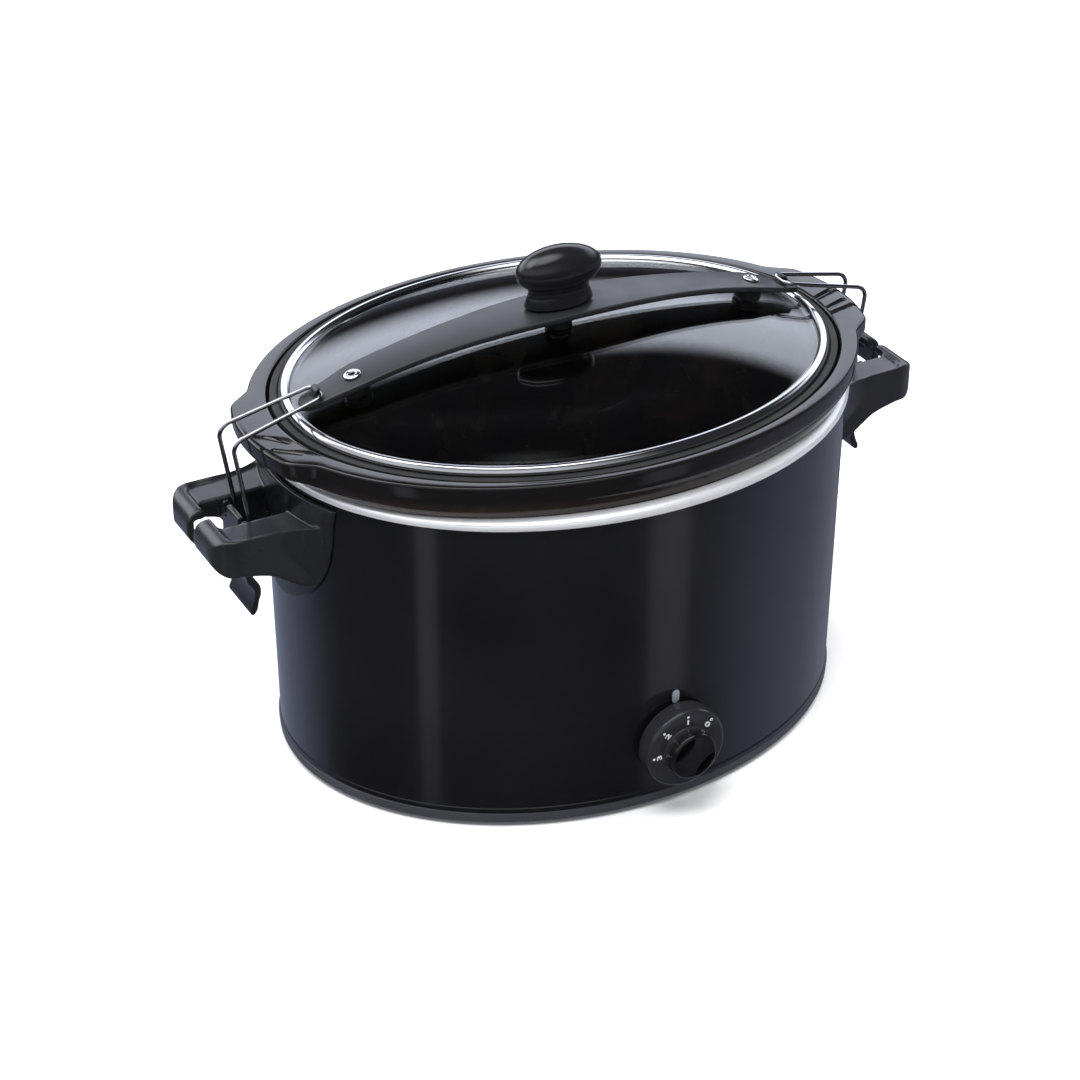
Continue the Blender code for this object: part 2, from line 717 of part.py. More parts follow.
def strap_grommet(side, label):
    """Rubber spool between the strap and the glass, with its lower flange under the glass."""
    profile = [(5.0, -4.3), (7.6, -4.95), (8.0, -5.6), (8.0, -10.6), (4.1, -10.6), (4.1, -14.9)]
    profile += [(8.0, -14.9), (8.0, -18.4), (3.15, -18.4), (3.15, -4.3)]
    at = (side * RIVET_X, 0, rivet_z())
    return turned(f"strap_grommet_{label}", profile, RUBBER, 16, at, (0, side * RIVET_TILT, 0), closed=True)


def knob_seal():
    """Rubber spool in the centre hole of the glass."""
    profile = [(6.5, 252.9), (8.0, 243.35), (4.1, 243.35), (4.1, 239.65), (8.0, 239.65), (7.5, 238.0)]
    profile += [(2.8, 238.0), (2.8, 252.9)]
    return turned("knob_seal", profile, RUBBER, 16, closed=True)


def knob_screw():
    profile = [(0, 270), (2.3, 270), (2.3, 237.6), (6.0, 237.6), (5.6, 235.2), (0, 234.9)]
    return turned("knob_screw", profile, STEEL, 12)


def knob():
    """Oval knob: flared foot, waist, and a belly that is half of one ellipsoid over half of another."""
    rings = [(19.8, 10.6, 257.4), (21.1, 11.4, 258.6), (20.6, 11.1, 261.0), (19.2, 10.0, 264.5), (18.8, 9.7, 267.5)]
    long, wide, middle = 26.4, 13.9, 278.7
    for angle in (-40, -25, -12, 0, 14, 28, 42, 56, 70, 82):
        rise = 13.8 if angle < 0 else 12.9
        turn = math.radians(angle)
        rings.append((long * math.cos(turn), wide * math.cos(turn), middle + rise * math.sin(turn)))
    angles = [2 * math.pi * k / 28 for k in range(28)]
    grip = loft("knob", [oval(a, b, z, angles) for a, b, z in rings], SATIN_BLACK)
    return cut(grip, rod("knob_bore", 2.7, 245, 272, STEEL, 16))


def lid_pieces():
    pieces = [lid_ring(), lid_gasket(), lid_glass(), lid_strap(), knob_seal(), knob_screw(), knob()]
    for label, side in (("left", -1), ("right", 1)):
        pieces += [strap_rivet(side, label), strap_grommet(side, label)]
    return pieces


# ---------------------------------------------------------------- wire bails

def bail_path():
    """Centre line of one leg, from its foot to the middle of the crossbar, for the +X end."""
    (foot_x, foot_z), (far_x, far_z), (bar_x, bar_z) = BAIL_FOOT, BAIL_SHOULDER, CROSSBAR
    bend = arc(far_x - 8.0, far_z - 7.5, 8.0, 2, 78, 6)
    shoulder_x, shoulder_z = bend[-1]
    slope = (shoulder_z - bar_z) / (shoulder_x - bar_x)
    upright = [(foot_x, foot_z), ((foot_x + far_x) / 2, (foot_z + far_z - 7.5) / 2)]
    leg = [(x, BAIL_HALF, z) for x, z in upright + bend]
    corner = 4.5
    for x, y in arc(bar_x + corner, CROSSBAR_HALF - corner, corner, 90, 180, 5):
        leg.append((x, y, bar_z + slope * (x - bar_x)))
    return leg


def bail(side, label):
    """Wire bail: two legs and a crossbar bent from one piece of wire."""
    half = bail_path()
    route = half + [(x, -y, z) for x, y, z in reversed(half)]
    curve = bpy.data.curves.new(f"bail_{label}", "CURVE")
    curve.dimensions = "3D"
    curve.bevel_depth = WIRE * MM
    curve.bevel_resolution = 2
    curve.use_fill_caps = True
    spline = curve.splines.new("POLY")
    spline.points.add(len(route) - 1)
    for point, (x, y, z) in zip(spline.points, route):
        point.co = (side * x * MM, y * MM, z * MM, 1)
    curve.materials.append(CHROME)
    obj = bpy.data.objects.new(f"bail_{label}", curve)
    PARTS.objects.link(obj)
    return obj


# ---------------------------------------------------------------- dial

def dial_knob():
    profile = [
        (0, 21.2),
        (12.9, 21.2),
        (14.2, 20.2),
        (14.6, 16.0),
        (14.9, 12.2),
        (23.0, 12.0),
        (24.2, 11.4),
        (DIAL_RADIUS, 9.6),
        (24.6, 0),
        (23.4, 0),
        (22.9, 8.0),
        (7.4, 8.4),
        (6.6, 8.0),
        (6.6, 2.2),
        (3.35, 2.2),
        (3.35, 12.0),
        (0, 12.0),
    ]
    at = (0, -DIAL_BACK, DIAL_Z)
    dial = turned("dial_knob", profile, GLOSS_BLACK, 32, at, FACING_FRONT)
    for index, side in enumerate((-1, 1), 1):
        cut(dial, dial_scoop(f"dial_scoop_{index}", side))
    return dial


def dial_scoop(name, side):
    """One of the two hollows beside the dial's grip bar, which leans 45 degrees at rest."""
    shape = bmesh.new()
    bmesh.ops.create_uvsphere(shape, u_segments=12, v_segments=8, radius=MM)
    lean = Matrix.Rotation(math.radians(45), 4, "Y")
    place = Matrix.Translation(Vector((0, -DIAL_BACK - 21.6, DIAL_Z)) * MM)
    beside = Matrix.Translation((side * 9.4 * MM, 0, 0))
    shape.transform(place @ lean @ beside @ Matrix.Diagonal((3.1, 7.0, 8.4, 1)))
    mesh = bpy.data.meshes.new(name)
    shape.to_mesh(mesh)
    shape.free()
    return add_mesh(name, mesh, GLOSS_BLACK)


def dial_shaft():
    return rod("dial_shaft", 3.0, 125.4, 151.4, STEEL, 20, (0, 0, DIAL_Z), FACING_FRONT)


# ---------------------------------------------------------------- assembly

def carrier(name, at, root=None):
    """Empty that carries one moving group, on its joint's axis."""
    empty = bpy.data.objects.new(name, None)
    empty.location = Vector(at) * MM
    empty.parent = root
    bpy.context.scene.collection.objects.link(empty)
    return empty


def hang(pieces, empty):
    bpy.context.view_layer.update()
    for piece in pieces:
        piece.parent = empty
        piece.matrix_parent_inverse = empty.matrix_world.inverted()


def build():
    root = carrier("root", (0, 0, 0))
    base = carrier("base_carrier", (0, 0, 0), root)
    hang(base_pieces(), base)
    hang([handle_screw(index, side, y) for index, (side, y) in enumerate(screw_places(), 1)], base)
    hang([crock()], carrier("crock_carrier", (0, 0, CROCK_TOP), root))
    hang(lid_pieces(), carrier("lid_carrier", (0, 0, GLASS_EDGE_Z), root))
    hang([dial_knob(), dial_shaft()], carrier("dial_carrier", (0, -DIAL_BACK, DIAL_Z), root))
    for label, side in (("left", -1), ("right", 1)):
        hang([handle(side, label), latch_pin(side, label)], base)
        pivot = (side * LEVER_PIN[0], 0, LEVER_PIN[1])
        hang([latch_lever(side, label)], carrier(f"latch_{label}_carrier", pivot, root))
        hook = (side * CROSSBAR[0], 0, CROSSBAR[1])
        hang([bail(side, label)], carrier(f"bail_{label}_carrier", hook, root))
    hang(list(CUTTERS.objects), root)
    root.location.y = CENTRING * MM


clear_scene()
PARTS = new_collection("oval_slow_cooker")
CUTTERS = new_collection("cutters")
BLACK_PAINT = material("black_paint", (0.012, 0.012, 0.014), 0.16)
DARK_PLASTIC = material("dark_plastic", (0.022, 0.022, 0.024), 0.38)
GLOSS_BLACK = material("gloss_black", (0.015, 0.015, 0.017), 0.18)
SATIN_BLACK = material("satin_black", (0.03, 0.03, 0.033), 0.34)
GREY_PLASTIC = material("grey_plastic", (0.09, 0.095, 0.11), 0.45)
CREAM_PLASTIC = material("cream_plastic", (0.62, 0.58, 0.48), 0.5)
RUBBER = material("black_rubber", (0.018, 0.018, 0.018), 0.7)
STONEWARE = material("glazed_stoneware", (0.02, 0.017, 0.014), 0.1)
GLASS = material("lid_glass", (0.9, 0.94, 0.94), 0.03, alpha=0.3)
ALUMINIUM = material("aluminium", (0.8, 0.81, 0.83), 0.28, 1.0)
POLISHED_STEEL = material("polished_steel", (0.82, 0.82, 0.83), 0.14, 1.0)
CHROME = material("chrome", (0.85, 0.85, 0.86), 0.08, 1.0)
STEEL = material("zinc_steel", (0.58, 0.59, 0.6), 0.35, 1.0)
HEATER = material("heater_band", (0.5, 0.45, 0.38), 0.5, 1.0)
build()
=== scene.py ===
"""Looks and studio for the oval slow cooker.

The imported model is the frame, and its bodies carry every piece made here. Lengths are in millimetres about
the axis of the oval, and MM turns them into metres. Pieces on the two ends are drawn for the +X end, and
side = -1 makes the one at the -X end.
"""

import math

import bmesh
import bpy
import numpy as np
from mathutils import Matrix, Vector


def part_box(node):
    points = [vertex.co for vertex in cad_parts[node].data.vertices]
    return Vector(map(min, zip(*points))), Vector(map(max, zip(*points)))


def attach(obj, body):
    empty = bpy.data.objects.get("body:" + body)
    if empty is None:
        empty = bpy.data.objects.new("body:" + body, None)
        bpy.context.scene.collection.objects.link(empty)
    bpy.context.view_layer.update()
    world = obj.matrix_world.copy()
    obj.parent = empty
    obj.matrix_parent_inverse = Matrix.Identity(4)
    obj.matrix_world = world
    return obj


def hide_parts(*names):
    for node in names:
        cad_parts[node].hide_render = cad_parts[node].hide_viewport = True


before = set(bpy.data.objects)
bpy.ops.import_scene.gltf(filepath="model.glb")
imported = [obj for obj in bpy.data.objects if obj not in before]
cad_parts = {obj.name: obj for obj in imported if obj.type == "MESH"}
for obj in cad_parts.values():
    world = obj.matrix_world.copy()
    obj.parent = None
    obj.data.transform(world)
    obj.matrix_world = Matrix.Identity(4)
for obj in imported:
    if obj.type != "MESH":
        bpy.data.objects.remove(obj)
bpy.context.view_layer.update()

MM = 0.001
HOUSING_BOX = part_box("outer_housing")
AXIS_Y = (HOUSING_BOX[0].y + HOUSING_BOX[1].y) / 2
OVAL_STEPS = 288

# Shapes that the CAD fixes, in millimetres about the axis of the oval.
HOUSING_LOW = (173.4, 137.0, 9.85)
HOUSING_HIGH = (174.6, 139.9, 195.8)
WALL = 1.2
CROCK_TOP = 221.5
CROCK_RIM = (183.2, 137.1)
RECESS = (171.2, 131.6)
MOUTH = (159.5, 121.0)
TAB_REACH, TAB_HALF, TAB_FADE = 9.5, 43.5, 15.0
RING = (164.7, 126.0)
GLASS_EDGE_Z, GLASS_RISE, GLASS_THICK = 223.8, 19.2, 3.0
STRAP_MIDDLE, STRAP_THICK = 257.0, 3.6
RIVET_X, RIVET_TILT = 128.1, math.radians(13)
CROSSBAR = (149.0, 238.0)
BAIL_SHOULDER = (203.3, 226.0)
BAIL_FOOT = (197.0, 176.4)
BAIL_HALF, CROSSBAR_HALF, WIRE = 10.25, 7.8, 1.3
LEVER_PIN = (190.5, 152.5)
LEVER_HALF, TAIL_HALF = 14.3, 16.0
HANDLE_TOP, HANDLE_END, HANDLE_HALF = 180.5, 228.0, 37.5
OPENING = (177.0, 217.5, 15.0)
HOLLOW = (198.0, 223.5, 34.0, 174.5)
NOTCH_HALF = 3.8
WALL_GAP = 0.35
SHIELD_LOW, SHIELD_MIDDLE, SHIELD_HALF = 119.2, 178.0, 48.5
DIAL_Z, DIAL_BACK, DIAL_RADIUS, DIAL_FACE = 45.0, 139.9, 24.9, 12.0
GLAND_Z = 30.0


# ---------------------------------------------------------------- shape helpers

def rounded(points, radius=0.5, steps=4, closed=True, width=None):
    """A run of points with its corners rounded. A number past the width of a point is its own radius."""
    width = width or min(len(p) for p in points)
    found = []
    arrays = [np.array(p[:width], float) for p in points]
    for i, corner in enumerate(arrays):
        if not closed and i in (0, len(arrays) - 1):
            found.append(corner)
            continue
        own = points[i][width] if len(points[i]) > width else radius
        before, after = arrays[i - 1] - corner, arrays[(i + 1) % len(arrays)] - corner
        reach = [min(own, 0.48 * np.linalg.norm(v)) / max(np.linalg.norm(v), 1e-9) for v in (before, after)]
        start, end = corner + before * reach[0], corner + after * reach[1]
        for k in range(steps + 1):
            t = k / steps
            found.append(start * (1 - t) ** 2 + corner * 2 * t * (1 - t) + end * t * t)
    return found


def spline(points, per=6, closed=False):
    """A smooth run through the points (Catmull-Rom)."""
    p = [np.array(q, float) for q in points]
    if closed:
        p = [p[-1], *p, p[0], p[1]]
    else:
        p = [2 * p[0] - p[1], *p, 2 * p[-1] - p[-2]]
    found = []
    for i in range(1, len(p) - 2):
        for k in range(per):
            t = k / per
            a, b, c, d = p[i - 1: i + 3]
            found.append(0.5 * (2 * b + (c - a) * t + (2 * a - 5 * b + 4 * c - d) * t ** 2
                                + (3 * b - a - 3 * c + d) * t ** 3))
    if not closed:
        found.append(p[-2])
    return found


def arc(cx, cy, radius, start, end, count=9):
    """Points on an arc, angles in degrees."""
    angles = np.radians(np.linspace(start, end, count))
    return [(cx + radius * math.cos(t), cy + radius * math.sin(t)) for t in angles]


def mesh_object(name, points, faces):
    """An object from points in millimetres, with its faces turned outwards."""
    mesh = bpy.data.meshes.new(name)
    mesh.from_pydata((np.asarray(points, float) * MM).tolist(), [], faces)
    tidy = bmesh.new()
    tidy.from_mesh(mesh)
    bmesh.ops.recalc_face_normals(tidy, faces=tidy.faces)
    tidy.to_mesh(mesh)
    tidy.free()
    obj = bpy.data.objects.new(name, mesh)
    bpy.context.scene.collection.objects.link(obj)
    return obj


def loft(name, rings, closed=False):
    """Skin over rings of equal length: closed joins the last ring to the first."""
    count = len(rings[0])
    faces = []
    for i in range(len(rings) if closed else len(rings) - 1):
        here, there = i * count, (i + 1) % len(rings) * count
        for k in range(count):
            m = (k + 1) % count
            faces.append((here + k, here + m, there + m, there + k))
    if not closed:
        faces.append(tuple(range(count)))
        faces.append(tuple(range((len(rings) - 1) * count, len(rings) * count)))
    return mesh_object(name, np.concatenate([np.asarray(r, float) for r in rings]), faces)


def tab_reach(y):
    """How far a lifting tab stands out beyond the oval at this y."""
    fade = np.clip((TAB_HALF + TAB_FADE / 2 - np.abs(y)) / TAB_FADE, 0, 1)
    return TAB_REACH * fade * fade * (3 - 2 * fade)


def oval_angles(dense=()):
    """Even angles round the oval, with more of them between each pair in dense, in all four quarters."""
    angles = list(np.linspace(0, 2 * math.pi, OVAL_STEPS, endpoint=False))
    for low, high in dense:
        for t in np.linspace(low, high, 16):
            angles += [t, math.pi - t, math.pi + t, 2 * math.pi - t]
    return np.array(sorted({round(a, 5) for a in angles}))


def oval_loft(name, profile, closed=True, dense=()):
    """profile is (half length, half width, z), or those and a tab weight."""
    angles = oval_angles(dense)
    cos, sin = np.cos(angles), np.sin(angles)
    rings = []
    for a, b, z, *tab in profile:
        x, y = a * cos, b * sin
        if tab and tab[0]:
            x = x + np.sign(x) * tab[0] * tab_reach(y)
        rings.append(np.stack([x, y, np.full_like(x, z)], axis=1))
    return loft(name, rings, closed)


def turned(name, profile, steps=64, place=Matrix.Identity(4), closed=False):
    """A turned solid from (radius, height) points, then placed by a matrix in millimetres."""
    angles = np.linspace(0, 2 * math.pi, steps, endpoint=False)
    rings = []
    for radius, height in profile:
        radius = max(radius, 0.01)
        rings.append([(radius * math.cos(t), radius * math.sin(t), height) for t in angles])
    rings = [[tuple(place @ Vector(p)) for p in ring] for ring in rings]
    return loft(name, rings, closed)


def drill(radius, low, high, place=Matrix.Identity(4), steps=32):
    """A cutter for a round hole along local Z."""
    return turned("drill", [(radius, low), (radius, high)], steps, place)


def at(x, y, z, turn=None):
    """Placement in millimetres, with local +Z turned to face an axis or by Euler angles."""
    turns = {"front": (math.pi / 2, 0, 0), "rear": (-math.pi / 2, 0, 0)}
    about_x, about_y, about_z = turns.get(turn, turn) or (0, 0, 0)
    rotation = Matrix.Rotation(about_z, 4, "Z") @ Matrix.Rotation(about_y, 4, "Y")
    return Matrix.Translation((x, y, z)) @ (rotation @ Matrix.Rotation(about_x, 4, "X"))


def extruded(name, outline, low, high, plane="XZ"):
    """A flat outline extruded from low to high across its plane."""
    maps = {"XZ": lambda u, v, w: (u, w, v), "XY": lambda u, v, w: (u, v, w), "YZ": lambda u, v, w: (w, u, v)}
    rings = [[maps[plane](u, v, w) for u, v in outline] for w in (low, high)]
    return loft(name, rings)


def block(name, low, high):
    """A box between two corners."""
    (x0, y0, z0), (x1, y1, z1) = low, high
    return extruded(name, [(x0, y0), (x1, y0), (x1, y1), (x0, y1)], z0, z1, "XY")


def mirrored(outline, side):
    """The outline as it is for the +X end, or turned over for the other."""
    return [(side * u, v) for u, v in outline]


HELPERS = []


def combine(obj, other, operation):
    """A Boolean on obj. The other object is dropped once the shape is baked."""
    step = obj.modifiers.new(operation.lower(), "BOOLEAN")
    step.operation = operation
    step.solver = "EXACT"
    step.object = other
    HELPERS.append(other)
    return obj


def cut(obj, other):
    return combine(obj, other, "DIFFERENCE")


def join(obj, other):
    return combine(obj, other, "UNION")


def baked(obj):
    """The shape with its modifiers applied. Helpers that it used are removed."""
    bpy.context.view_layer.update()
    graph = bpy.context.evaluated_depsgraph_get()
    mesh = bpy.data.meshes.new_from_object(obj.evaluated_get(graph))
    obj.modifiers.clear()
    obj.data = mesh
    for helper in HELPERS:
        bpy.data.objects.remove(helper, do_unlink=True)
    HELPERS.clear()
    return obj


def moulded(obj, voxel, rounds):
    """Softens every edge of a Boolean shape as a mould does: an even remesh, then smoothing."""
    baked(obj)
    remesh = obj.modifiers.new("remesh", "REMESH")
    remesh.mode = "VOXEL"
    remesh.voxel_size = voxel * MM
    smooth = obj.modifiers.new("smooth", "SMOOTH")
    smooth.factor = 0.5
    smooth.iterations = rounds
    return baked(obj)


def dress(obj, body, mat, slot, *nodes, sharp=None):
    """Gives a finished shape its material, its place, its body and the CAD nodes that it stands for."""
    obj.data.materials.clear()
    obj.data.materials.append(MATERIALS[mat])
    if obj.type == "MESH":
        obj.data.shade_smooth()
        if sharp:
            obj.data.set_sharp_from_angle(angle=math.radians(sharp))
    obj.location = (0, AXIS_Y, 0)
    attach(obj, body)
    if nodes:
        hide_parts(*nodes)
    return obj


def wall_oval(z, offset=0.0):
    """Half axes of the housing's outer face at height z, grown by offset."""
    t = (z - HOUSING_LOW[2]) / (HOUSING_HIGH[2] - HOUSING_LOW[2])
    return [low + (high - low) * t + offset for low, high in zip(HOUSING_LOW[:2], HOUSING_HIGH[:2])]


def wall_x(y, z):
    """How far out the housing's face is at this y and z."""
    a, b = wall_oval(z)
    return a * math.sqrt(max(0.0, 1 - (y / b) ** 2))


# ---------------------------------------------------------------- materials

MATERIALS = {}


class Finish:
    """One material: a Principled shader and the texture nodes that drive it."""

    def __init__(self, name, colour, **sockets):
        self.mat = bpy.data.materials.new(name)
        self.mat.use_nodes = True
        self.tree = self.mat.node_tree
        self.shader = self.tree.nodes["Principled BSDF"]
        self.shader.inputs["Base Color"].default_value = (*colour, 1.0)
        for socket, value in sockets.items():
            self.shader.inputs[socket.replace("_", " ")].default_value = value
        self.coords = self.node("ShaderNodeTexCoord").outputs["Object"]
        MATERIALS[name] = self.mat

    def node(self, kind, **settings):
        made = self.tree.nodes.new(kind)
        for key, value in settings.items():
            setattr(made, key, value)
        return made

    def feed(self, node, socket, value):
        if isinstance(value, bpy.types.NodeSocket):
            self.tree.links.new(value, node.inputs[socket])
        else:
            node.inputs[socket].default_value = value

    def noise(self, scale, detail=3.0, stretch=(1, 1, 1), coords=None, distortion=0.0):
        """Noise with about scale features in a metre, stretched along an axis by a number under 1."""
        mapping = self.node("ShaderNodeMapping")
        self.feed(mapping, "Vector", coords or self.coords)
        mapping.inputs["Scale"].default_value = stretch
        texture = self.node("ShaderNodeTexNoise")
        self.feed(texture, "Vector", mapping.outputs["Vector"])
        texture.inputs["Scale"].default_value = scale
        texture.inputs["Detail"].default_value = detail
        texture.inputs["Distortion"].default_value = distortion
        return texture.outputs["Fac"]

    def remap(self, value, low, high, start=0.3, end=0.7):
        """value from start to end becomes low to high."""
        made = self.node("ShaderNodeMapRange", clamp=True)
        self.feed(made, "Value", value)
        for socket, number in (("From Min", start), ("From Max", end), ("To Min", low), ("To Max", high)):
            self.feed(made, socket, number)
        return made.outputs["Result"]

    def math(self, operation, a, b=0.0):
        made = self.node("ShaderNodeMath", operation=operation)
        self.feed(made, 0, a)
        self.feed(made, 1, b)
        return made.outputs[0]

    def axis(self, name):
        made = self.node("ShaderNodeSeparateXYZ")
        self.feed(made, 0, self.coords)
        return made.outputs[name]

    def oval_coords(self, across, along):
        """Coordinates that run across and along an oval, for marks left by spinning or rolling."""
        split = self.node("ShaderNodeSeparateXYZ")
        self.feed(split, 0, self.coords)
        x = self.math("MULTIPLY", split.outputs["X"], 0.78)
        angle = self.math("ARCTAN2", split.outputs["Y"], x)
        square = self.math("ADD", self.math("MULTIPLY", x, x),
                           self.math("MULTIPLY", split.outputs["Y"], split.outputs["Y"]))
        radius = self.math("SQRT", square)
        made = self.node("ShaderNodeCombineXYZ")
        self.feed(made, 0, self.math("MULTIPLY", radius, across))
        self.feed(made, 1, self.math("MULTIPLY", angle, along))
        self.feed(made, 2, self.math("MULTIPLY", split.outputs["Z"], across))
        return made.outputs[0]

    def colour(self, factor, first, second):
        """Base colour between two colours."""
        mix = self.node("ShaderNodeMix", data_type="RGBA")
        self.feed(mix, "Factor", factor)
        mix.inputs[6].default_value = (*first, 1.0)
        mix.inputs[7].default_value = (*second, 1.0)
        self.feed(self.shader, "Base Color", mix.outputs[2])
        return self

    def rough(self, value):
        self.feed(self.shader, "Roughness", value)
        return self

    def bump(self, height, distance):
        """Bump of a real height in millimetres."""
        made = self.node("ShaderNodeBump")
        made.inputs["Strength"].default_value = 1.0
        made.inputs["Distance"].default_value = distance * MM
        self.feed(made, "Height", height)
        self.feed(self.shader, "Normal", made.outputs[0])
        return self


def plastic(name, dark, light, low, high, grain, depth):
    """Moulded plastic: faint mottling, a sheen that varies, and the fine grain of the mould."""
    made = Finish(name, dark)
    made.colour(made.remap(made.noise(22, 4), 0, 1), dark, light)
    made.rough(made.remap(made.noise(60, 5), low, high))
    return made.bump(made.noise(grain, 2), depth)


def metal(name, dark, light, low, high, stretch, depth, scale):
    """Metal with drawn or rolled lines along one direction."""
    made = Finish(name, dark, Metallic=1.0)
    lines = made.noise(scale, 3, stretch)
    made.colour(made.remap(made.noise(35, 4), 0, 1), dark, light)
    made.rough(made.remap(lines, low, high))
    return made.bump(lines, depth)


def oval_metal(name, dark, light, low, high, depth, metallic=1.0):
    """Metal spun or rolled round the oval, with lines that follow it."""
    across, along = 900, 1.6
    made = Finish(name, dark, Metallic=metallic)
    lines = made.noise(1.0, 4, coords=made.oval_coords(across, along))
    made.colour(made.remap(made.noise(18, 4), 0, 1), dark, light)
    made.rough(made.remap(lines, low, high))
    return made.bump(lines, depth)


def make_materials():
    enamel = Finish("enamel", (0.006, 0.006, 0.0075), Coat_Weight=0.6, Coat_Roughness=0.06)
    enamel.colour(enamel.remap(enamel.noise(9, 3), 0, 1), (0.0045, 0.0045, 0.006), (0.0085, 0.0085, 0.0105))
    enamel.rough(enamel.remap(enamel.noise(70, 5, (1, 1, 0.5)), 0.17, 0.22))
    enamel.bump(enamel.noise(60, 2), 0.004)

    glaze = Finish("glaze", (0.008, 0.007, 0.007), IOR=1.52)
    thin = glaze.remap(glaze.noise(26, 6, distortion=0.6), 0, 1, 0.42, 0.75)
    collar = glaze.remap(glaze.axis("Z"), 1, 0, 0.2022, 0.2125)
    glaze.colour(glaze.math("MULTIPLY", thin, collar), (0.0065, 0.006, 0.0062), (0.040, 0.024, 0.016))
    glaze.rough(glaze.remap(glaze.noise(90, 5), 0.04, 0.1))
    glaze.bump(glaze.noise(55, 3), 0.10)

    plastic("handle_plastic", (0.011, 0.0115, 0.0135), (0.016, 0.0165, 0.019), 0.20, 0.28, 2600, 0.006)
    plastic("strap_plastic", (0.016, 0.0165, 0.0185), (0.022, 0.0225, 0.025), 0.29, 0.38, 2600, 0.008)
    plastic("knob_plastic", (0.008, 0.008, 0.009), (0.012, 0.012, 0.013), 0.14, 0.22, 1500, 0.003)
    dial_skin = plastic("dial_plastic", (0.01, 0.01, 0.01), (0.01, 0.01, 0.01), 0.10, 0.16, 1200, 0.002)
    # Painted light and shade: the dial's face ring is painted lighter and the boss in front of it darker, as
    # lit and shaded tones of the same black plastic.
    boss = dial_skin.remap(dial_skin.axis("Y"), 1, 0, -0.157, -0.153)
    dial_skin.colour(boss, (0.019, 0.019, 0.023), (0.006, 0.006, 0.007))
    plastic("base_plastic", (0.040, 0.042, 0.050), (0.052, 0.054, 0.063), 0.38, 0.5, 2200, 0.01)
    plastic("cream_plastic", (0.56, 0.51, 0.42), (0.66, 0.61, 0.51), 0.42, 0.55, 1800, 0.01)
    plastic("switch_plastic", (0.016, 0.016, 0.017), (0.024, 0.024, 0.026), 0.4, 0.55, 1800, 0.01)
    plastic("rubber", (0.011, 0.011, 0.011), (0.019, 0.019, 0.019), 0.55, 0.75, 1600, 0.02)
    plastic("print", (0.62, 0.62, 0.64), (0.80, 0.80, 0.81), 0.35, 0.5, 3000, 0.004)
    plastic("pointer_print", (0.27, 0.29, 0.33), (0.34, 0.36, 0.40), 0.3, 0.42, 3000, 0.004)

    oval_metal("lip_aluminium", (0.84, 0.85, 0.87), (0.91, 0.92, 0.94), 0.26, 0.40, 0.006, metallic=0.6)
    oval_metal("ring_steel", (0.64, 0.64, 0.66), (0.74, 0.74, 0.76), 0.07, 0.16, 0.003)
    metal("wire_chrome", (0.50, 0.50, 0.52), (0.60, 0.60, 0.62), 0.05, 0.12, (1, 1, 0.2), 0.002, 900)
    metal("rivet_steel", (0.76, 0.76, 0.78), (0.86, 0.86, 0.88), 0.10, 0.2, (1, 1, 1), 0.004, 1500)
    metal("zinc", (0.50, 0.51, 0.53), (0.64, 0.65, 0.66), 0.28, 0.42, (1, 1, 0.1), 0.01, 900)
    metal("pan_zinc", (0.52, 0.53, 0.55), (0.66, 0.67, 0.69), 0.30, 0.45, (0.05, 1, 1), 0.01, 900)
    metal("heater_steel", (0.36, 0.30, 0.24), (0.52, 0.44, 0.34), 0.4, 0.6, (1, 1, 0.1), 0.02, 500)

    glass = Finish("clear_glass", (0.93, 0.965, 0.955), IOR=1.5, Transmission_Weight=1.0)
    glass.rough(glass.remap(glass.noise(45, 5), 0.0, 0.018, 0.45, 0.75))
    glass.bump(glass.noise(9, 2), 0.05)


# ---------------------------------------------------------------- housing, base and crock

def housing():
    """The enamelled wall, with a rolled hem at its foot and a way through it for the bush."""
    (a0, b0, z0), (a1, b1, z1) = HOUSING_LOW, HOUSING_HIGH
    hem = 0.5
    outer = [
        (a0 + hem, b0 + hem, z0, 0.5),
        (a0 + hem, b0 + hem, z0 + 2.5, 0.5),
        (a0, b0, z0 + 3.1, 0.5),
        (a1, b1, z1, 0.4),
        (a1 - WALL, b1 - WALL, z1, 0.4),
        (a0 - WALL, b0 - WALL, z0, 0.4),
    ]
    obj = oval_loft("housing_shell", rounded(outer, width=3))
    cut(obj, drill(6.2, 130, 145, at(0, 0, GLAND_Z, "rear")))
    dress(baked(obj), "base", "enamel", "black_paint", "outer_housing", sharp=50)


def base_band():
    """The slate-grey foot band, with a step inside it that carries the pan."""
    profile = [
        (172.6, 135.3, 2.0, 1.0),
        (174.2, 136.9, 3.5, 1.0),
        (174.6, 137.3, 9.4, 0.5),
        (171.7, 134.4, 9.4, 0.3),
        (171.5, 134.2, 15.0, 0.5),
        (167.8, 131.5, 15.0, 0.5),
        (167.8, 131.5, 4.4, 0.3),
        (150.0, 114.0, 4.4, 0.3),
        (150.0, 114.0, 2.0, 0.4),
    ]
    obj = oval_loft("base_band", rounded(profile, width=3))
    dress(obj, "base", "base_plastic", "grey_plastic", "base_ring", sharp=50)


